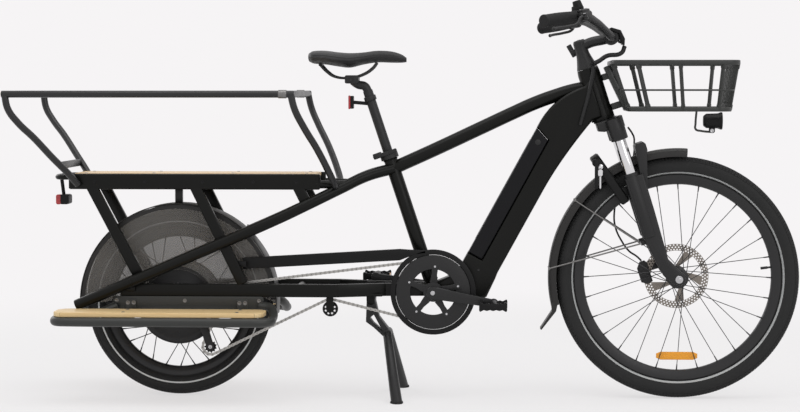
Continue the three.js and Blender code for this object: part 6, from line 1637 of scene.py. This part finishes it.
def buildControl(side, name):
    c = controlValues
    bm = bmesh.new()
    addSpun(bm, c["cuff"], gripPoint(side, 0), 36, axis=gripAxis(side))
    addRod(bm, gripPoint(side, -24, 22, 2), gripPoint(side, 22, 26, -3), 0.009, 28, edge=0.0016)
    addBar(bm, gripPoint(side, -20, 20, 12), gripPoint(side, 14, 23, 9), 0.02, 0.01, 0.0028)
    addRod(bm, gripPoint(side, 0, 8, 0), gripPoint(side, 0, 24, 0), 0.0085, 20)
    for low, high in c["lugs"]:
        addRod(bm, gripPoint(side, *c["hinge"], low), gripPoint(side, *c["hinge"], high), 0.0085, 24, edge=0.0008)
        addBar(bm, gripPoint(side, 22, 26, (low + high) / 2), gripPoint(side, 22, 40, (low + high) / 2), 0.014,
               0.0028, 0.0006)
    finishPiece(bm, name + "ControlBody", "steering", "satinBlack", ["control_" + name], 34)
    bm = bmesh.new()
    if side < 0:
        addBar(bm, gripPoint(side, -24, -2, 21), gripPoint(side, 2, -2, 21), 0.024, 0.016, 0.003)
        addRod(bm, gripPoint(side, -13, 0, 22), gripPoint(side, -13, 0, 44), 0.014, 32, endRadius=0.011, edge=0.002)
    else:
        addBar(bm, gripPoint(side, -16, -2, 17), gripPoint(side, 2, -2, 17), 0.018, 0.006, 0.0016)
    finishPiece(bm, name + "SwitchBody", "steering", "mouldedPlastic")
    bm = bmesh.new()
    upward = gripPoint(side, 0, 0, 1) - gripPoint(side, 0, 0, 0)
    addBolt(bm, gripPoint(side, *c["hinge"], -1), upward, 0.0044, 0.0018)
    addBolt(bm, gripPoint(side, -17, 20.5, 16.6), upward, 0.0024, 0.0012)
    addBolt(bm, gripPoint(side, 11, 23, 13.6), upward, 0.0024, 0.0012)
    finishPiece(bm, name + "ControlScrews", "steering", "boltSteel")
    bm = bmesh.new()
    addTube(bm, [gripPoint(side, *place) for place in c["blade"]], 0.004, 20, resolution=8)
    addRod(bm, gripPoint(side, *c["hinge"], -12.4), gripPoint(side, *c["hinge"], -4.6), 0.0074, 28, edge=0.001)
    tip = gripPoint(side, *c["blade"][-1])
    bmesh.ops.create_uvsphere(bm, u_segments=20, v_segments=12, radius=0.0052, matrix=Matrix.Translation(tip))
    finishPiece(bm, name + "LeverBlade", name + "_lever", "satinBlack", ["brake_lever_" + name], 40)


displayValues = {
    "case": [(76, 711), (96, 714), (118, 699), (122, 673), (116, 657), (109, 661), (110, 691), (88, 708)],
    "mount": [(80, 706), (96, 711), (114, 697.5), (118.6, 674), (113.4, 661), (103, 668), (96, 690)],
    "glass": ((73, -25, 708.5), (93, 25, 711.6)),
}


def buildDisplay():
    bm = bmesh.new()
    addPlate(bm, forkOutline(displayValues["case"]), -31, 31, 2, 3)
    finishPiece(bm, "displayCase", "steering", "mouldedPlastic", ["display"], 34)
    bm = bmesh.new()
    addPlate(bm, forkOutline(displayValues["mount"]), -22, 22, 3, 3)
    finishPiece(bm, "displayMount", "steering", "mouldedPlastic", (), 34)
    bm = bmesh.new()
    addForkBox(bm, *displayValues["glass"], 0.0006)
    finishPiece(bm, "displayGlass", "steering", "screenGlass")
    bm = bmesh.new()
    addCable(bm, "bundle", 0.0062, 20, 8)
    finishPiece(bm, "cableSleeve", "steering", "hoseRubber", ["cable_bundle"], 40)


# Basket and lamp
basketValues = {
    "rimLow": 921, "rimHigh": 934, "floorLow": 795, "floorHigh": 807, "topRear": 559, "topFront": 905,
    "lowRear": 603,
    "lowFront": 884, "topSide": 175, "lowSide": 160, "wall": 12, "radius": 36, "wireZ": 853,
    "sideRibs": (0.2, 0.53, 0.865), "rearRibs": (-0.5, 0, 0.5),
    "frontRibs": (-0.72, -0.5, -0.25, 0, 0.25, 0.5, 0.72),
    "slats": (-96, -48, 0, 48, 96), "lampWire": [(800, 0, 800), (797, 0, 760), (797.6, 0, 745), (812, 0, 740.4),
                                                 (846, 0, 737)],
}


def between(low, high, part):
    return low + (high - low) * part


def addFrameRing(bm, outer, inner, low, high, edge):
    # a flat frame between two outlines with the same number of points, in millimetres
    far = [bm.verts.new(mm(x, y, low)) for x, y in outer]
    near = [bm.verts.new(mm(x, y, low)) for x, y in inner]
    edges = [bm.edges.new((loop[i], loop[(i + 1) % len(loop)])) for loop in (far, near) for i in range(len(loop))]
    faces = bmesh.ops.bridge_loops(bm, edges=edges)["faces"]
    caps = set(faces + extrudeFaces(bm, faces, mm(0, 0, high - low)))
    rims = {e for f in caps if f.is_valid for e in f.edges if len(caps & set(e.link_faces)) == 1}
    bevelEdges(bm, rims, edge * 0.001, 3)


def ringOutlines(rear, front, side, radius, wall):
    outer = roundedCorners(rear, front, -side, side, radius, 8)
    inner = roundedCorners(rear + wall, front - wall, -side + wall, side - wall, radius - wall * 0.8, 8)
    return outer, inner


def buildBasket():
    b = basketValues
    bm = bmesh.new()
    share = (b["wireZ"] - b["floorLow"]) / (b["rimHigh"] - b["floorLow"])
    addFrameRing(bm, *ringOutlines(b["topRear"], b["topFront"], b["topSide"], b["radius"], b["wall"]), b["rimLow"],
                 b["rimHigh"], 3)
    addFrameRing(bm, *ringOutlines(b["lowRear"], b["lowFront"], b["lowSide"], b["radius"], b["wall"]),
                 b["floorLow"], b["floorHigh"], 3)
    wire = (between(b["lowRear"], b["topRear"], share) + 1, between(b["lowFront"], b["topFront"], share) - 1,
            between(b["lowSide"], b["topSide"], share) - 1)
    addFrameRing(bm, *ringOutlines(*wire, b["radius"], 5), b["wireZ"] - 2.5, b["wireZ"] + 2.5, 1.2)
    lowZ, highZ = b["floorLow"] + 4, b["rimHigh"] - 5
    for side in (-1, 1):
        for part in b["sideRibs"]:
            low = Vector((between(b["lowRear"], b["lowFront"], part), side * (b["lowSide"] - 6), lowZ))
            high = Vector((between(b["topRear"], b["topFront"], part), side * (b["topSide"] - 6), highZ))
            addRib(bm, low, high)
    ends = ((b["lowRear"] + 6, b["topRear"] + 6, b["rearRibs"]),
            (b["lowFront"] - 6, b["topFront"] - 6, b["frontRibs"]))
    for lowX, highX, parts in ends:
        for part in parts:
            addRib(bm, Vector((lowX, part * b["lowSide"], lowZ)), Vector((highX, part * b["topSide"], highZ)))
    for y in b["slats"]:
        addBox(bm, mm(b["lowRear"] + 4, y - 5, 797), mm(b["lowFront"] - 4, y + 5, 802), 0.0012)
    addBar(bm, mm(549, 0, 918), mm(606, 0, 800), 0.06, 0.014, 0.003)
    for up in (590, 505):
        addForkBox(bm, (31, -16, up - 9), (70, 16, up + 9), 0.0025)
    addTube(bm, [mm(*place) for place in b["lampWire"]], 0.003, 16)
    addRod(bm, mm(842, -3.2, 741), mm(842, 3.2, 741), 0.006, 28, edge=0.0006)
    finishPiece(bm, "basketFrame", "frame", "footBlack", ["basket"], 34)
    bm = bmesh.new()
    for z, x in ((890, 555.6), (840, 580)):
        for y in (-20, 20):
            addBolt(bm, mm(x + 7.6, y, z + 2), (0.9, 0, 0.43), 0.0042, 0.002)
    finishPiece(bm, "basketBolts", "frame", "boltSteel")


def addRib(bm, low, high):
    # a rib that widens where it runs into the rim and into the floor frame
    low, high = low * 0.001, high * 0.001
    run = high - low
    addBar(bm, low, high, 0.0072, 0.0116, 0.002)
    addBar(bm, high - run * 0.15, high, 0.0082, 0.0165, 0.0036)
    addBar(bm, low, low + run * 0.13, 0.0082, 0.0155, 0.0034)


headlightValues = {
    "place": (818, 0, 768), "lens": [(0, 51.6), (8, 51.2), (14, 50.4), (19.4, 49), (19.4, 47.8), (0, 47.8)],
    "shell": [(0, 0), (13, 0), (15, 1.2), (16, 3), (19.4, 7), (20, 9), (21, 38), (21.4, 41), (23.2, 45), (24, 46.4),
              (24, 51), (23.4, 52), (20.4, 52), (20, 51), (18, 48), (16, 47.4), (0, 47.4)],
}


def buildHeadlight():
    bm = bmesh.new()
    place = mm(*headlightValues["place"])
    addSpun(bm, headlightValues["shell"], place, 48, closed=False, axis=(1, 0, 0))
    for side in (-1, 1):
        addPlate(bm, roundedCorners(834, 850, 735, 752, 5), *spread(side, 3.5, 7.2), 0.7, 2)
    finishPiece(bm, "headlightShell", "lamp", "mouldedPlastic", ["headlight"], 32)
    bm = bmesh.new()
    addSpun(bm, headlightValues["lens"], place, 48, closed=False, axis=(1, 0, 0))
    finishPiece(bm, "headlightLens", "lamp", "clearLens")
    bm = bmesh.new()
    for side in (-1, 1):
        addBolt(bm, mm(842, side * 7.1, 741), (0, side, 0), 0.0036, 0.0014)
    finishPiece(bm, "headlightScrews", "lamp", "boltSteel")


# Stand, seatpost and saddle
standValues = {"foot": (-20.3, 162), "footHeights": (0.4, 7), "bolt": (-54, 35.6, 176)}


def buildStand():
    x, y = standValues["foot"]
    copyPiece("kickstand", "stand", "satinBlack", 0.0016, 42, smoothAngle=40)
    bm = bmesh.new()
    for side in (-1, 1):
        low, high = [mm(x, side * y, z) for z in standValues["footHeights"]]
        addRod(bm, low, high, 0.0182, 32, endRadius=0.0172, edge=0.0016)
    finishPiece(bm, "standFeet", "stand", "gripRubber")
    bm = bmesh.new()
    for side in (-1, 1):
        addBolt(bm, mirrorPoints([standValues["bolt"]], side)[0], (0, side, 0), 0.0048, 0.0026)
    finishPiece(bm, "standBolts", "stand", "boltSteel")


seatpostValues = {
    "post": (284, 586), "collar": (556, 570), "head": (-172, -134, 871, 894, 5),
    "rails": [(-240, 34, 922.9), (-222, 30, 904), (-200, 24, 890), (-152, 24, 888), (-120, 23, 897), (-95, 20, 914),
              (-84, 14, 928)],
    "lens": (-163, -157.4, 800, 838, 2.4), "lensBase": (-158, -149, 801, 837, 3),
}


def buildSeatpost():
    s = seatpostValues
    bm = bmesh.new()
    addRod(bm, *[seatPoint(distance) for distance in s["post"]], 0.0136, 36, edge=0.001)
    addRod(bm, *[seatPoint(distance) for distance in s["collar"]], 0.0171, 36, edge=0.0016)
    elbow = seatPoint(s["post"][1])
    addTube(bm, [seatPoint(574), seatPoint(584), elbow + mm(-8, 0, 12), mm(-136, 0, 868), mm(-152, 0, 879)], 0.012,
            24)
    addPlate(bm, roundedCorners(*s["head"]), -29, 29, 2.4, 3)
    finishPiece(bm, "seatpostTube", "seat", "satinBlack", ["seatpost"], 36)
    bm = bmesh.new()
    for side in (-1, 1):
        addTube(bm, mirrorPoints(s["rails"], side), 0.0036, 16, resolution=6)
    addRod(bm, mm(-240, -36, 922.9), mm(-240, 36, 922.9), 0.004, 20)
    for side in (-1, 1):
        addBolt(bm, mm(-153, side * 28.6, 882), (0, side, 0), 0.0055, 0.003)
    finishPiece(bm, "saddleRails", "seat", "satinBlack")
    bm = bmesh.new()
    addPlate(bm, roundedCorners(*s["lens"]), -16.6, 16.6, 1.4, 3)
    finishPiece(bm, "seatReflectorLens", "seat", "redLens")
    bm = bmesh.new()
    addPlate(bm, roundedCorners(*s["lensBase"]), -15.6, 15.6, 1.6, 3)
    addRod(bm, mm(-150, 0, 819), seatPoint(548) + mm(-10, 0, 0), 0.005, 20)
    finishPiece(bm, "seatReflectorArm", "seat", "mouldedPlastic")


saddleValues = {
    "rear": -271, "length": 269, "low": 925.6, "height": 38, "halfWidth": 88, "around": 40,
    "shares": [(0, 0.8, 0.15, 0.62), (0.04, 0.95, 0.02, 0.86), (0.17, 0.98, -0.05, 1), (0.3, 0.87, -0.2, 0.92),
               (0.42, 0.81, -0.28, 0.7), (0.55, 0.85, -0.06, 0.45), (0.7, 0.98, 0.1, 0.3), (0.85, 0.92, 0.08, 0.25),
               (0.95, 0.7, 0.08, 0.21), (1, 0.45, 0.12, 0.12)],
}


def saddleShare(at, column):
    rows = saddleValues["shares"]
    for i, (first, second) in enumerate(zip(rows, rows[1:])):
        if first[0] <= at <= second[0]:
            before, after = rows[max(0, i - 1)], rows[min(len(rows) - 1, i + 2)]
            t = (at - first[0]) / (second[0] - first[0])
            span = second[0] - first[0]
            slopeA = (second[column] - before[column]) / max(second[0] - before[0], 1e-6) * span
            slopeB = (after[column] - first[column]) / max(after[0] - first[0], 1e-6) * span
            return ((2 * t ** 3 - 3 * t ** 2 + 1) * first[column] + (t ** 3 - 2 * t ** 2 + t) * slopeA
                    + (3 * t ** 2 - 2 * t ** 3) * second[column] + (t ** 3 - t ** 2) * slopeB)
    return rows[-1][column]


def buildSaddle():
    s = saddleValues
    bm = bmesh.new()
    rings, count = [], s["around"]
    stations = [(1 - cos(pi * i / 44)) / 2 for i in range(45)]
    for at in stations:
        top, low, wide = (saddleShare(at, column) for column in (1, 2, 3))
        ring = []
        for k in range(count):
            angle = 2 * pi * k / count
            rise = sin(angle)
            if rise > 0:
                # a padded top with a shallow channel along the middle and a seam groove beside the edge
                height = low + (top - low) * (0.45 + 0.55 * rise ** 0.8)
                height -= 0.06 * (top - low) * max(0, 1 - (cos(angle) / 0.22) ** 2) * (0.35 + 0.65 * wide)
            else:
                height = low + (top - low) * 0.45 * (1 + rise)
            across = s["halfWidth"] * wide * cos(angle) * (1 if rise > 0 else 0.93)
            if 0.1 < rise < 0.32:
                across *= 0.985
            ring.append(bm.verts.new(mm(s["rear"] + s["length"] * at, across, s["low"] + s["height"] * height)))
        rings.append(ring)
    loops = [[bm.edges.new((ring[k], ring[(k + 1) % count])) for k in range(count)] for ring in rings]
    for first, second in zip(loops, loops[1:]):
        bmesh.ops.bridge_loops(bm, edges=first + second)
    for ring in (rings[0], rings[-1]):
        bm.faces.new(ring)
    bmesh.ops.smooth_vert(bm, verts=bm.verts, factor=0.35, use_axis_x=True, use_axis_y=True, use_axis_z=True)
    saddle = finishPiece(bm, "saddleCushion", "seat", "saddleCover", ["saddle"], 50, merge=False)
    bm = bmesh.new()
    for side in (-1, 1):
        seam = []
        for at in [0.06 + 0.86 * i / 24 for i in range(25)]:
            top, low, wide = (saddleShare(at, column) for column in (1, 2, 3))
            angle = radians(14)
            height = low + (top - low) * (0.45 + 0.55 * sin(angle) ** 0.8)
            across = s["halfWidth"] * wide * cos(angle) * 0.985
            seam.append(mm(s["rear"] + s["length"] * at, side * (across - 0.3),
                           s["low"] + s["height"] * height + 0.2))
        addTube(bm, seam, 0.0009, 8, resolution=3)
    finishPiece(bm, "saddleSeams", "seat", "seamThread")


quickValues = {"cam": (-35.3, -19, -3.5), "lever": ((-4, -6, -1), (14, -8, 4), (36, -11, 11), (57, -13.8, 18.6))}


def buildQuickRelease():
    cam = seatPoint(clampValues["at"]) + mm(*quickValues["cam"])
    bm = bmesh.new()
    addRod(bm, cam + mm(0, 7.6, 0), cam + mm(0, -7, 0), 0.008, 32, edge=0.0012)
    lever = [cam + mm(*place) for place in quickValues["lever"]]
    for first, second in zip(lever, lever[1:]):
        addBar(bm, first, second + (second - first).normalized() * 0.0006, 0.0046, 0.0112, 0.0015)
    finishPiece(bm, "quickReleaseLever", "quick_release", "satinBlack", ["qr_lever"], 34)


buildForkCrown()
buildForkLowers()
buildFrontFender()
buildLock()
buildFrontBrake()
buildStem()
buildHandlebar()
buildControl(-1, "right")
buildControl(1, "left")
buildDisplay()
buildBasket()
buildHeadlight()
buildStand()
buildSeatpost()
buildSaddle()
buildQuickRelease()
print("front and seat ready")
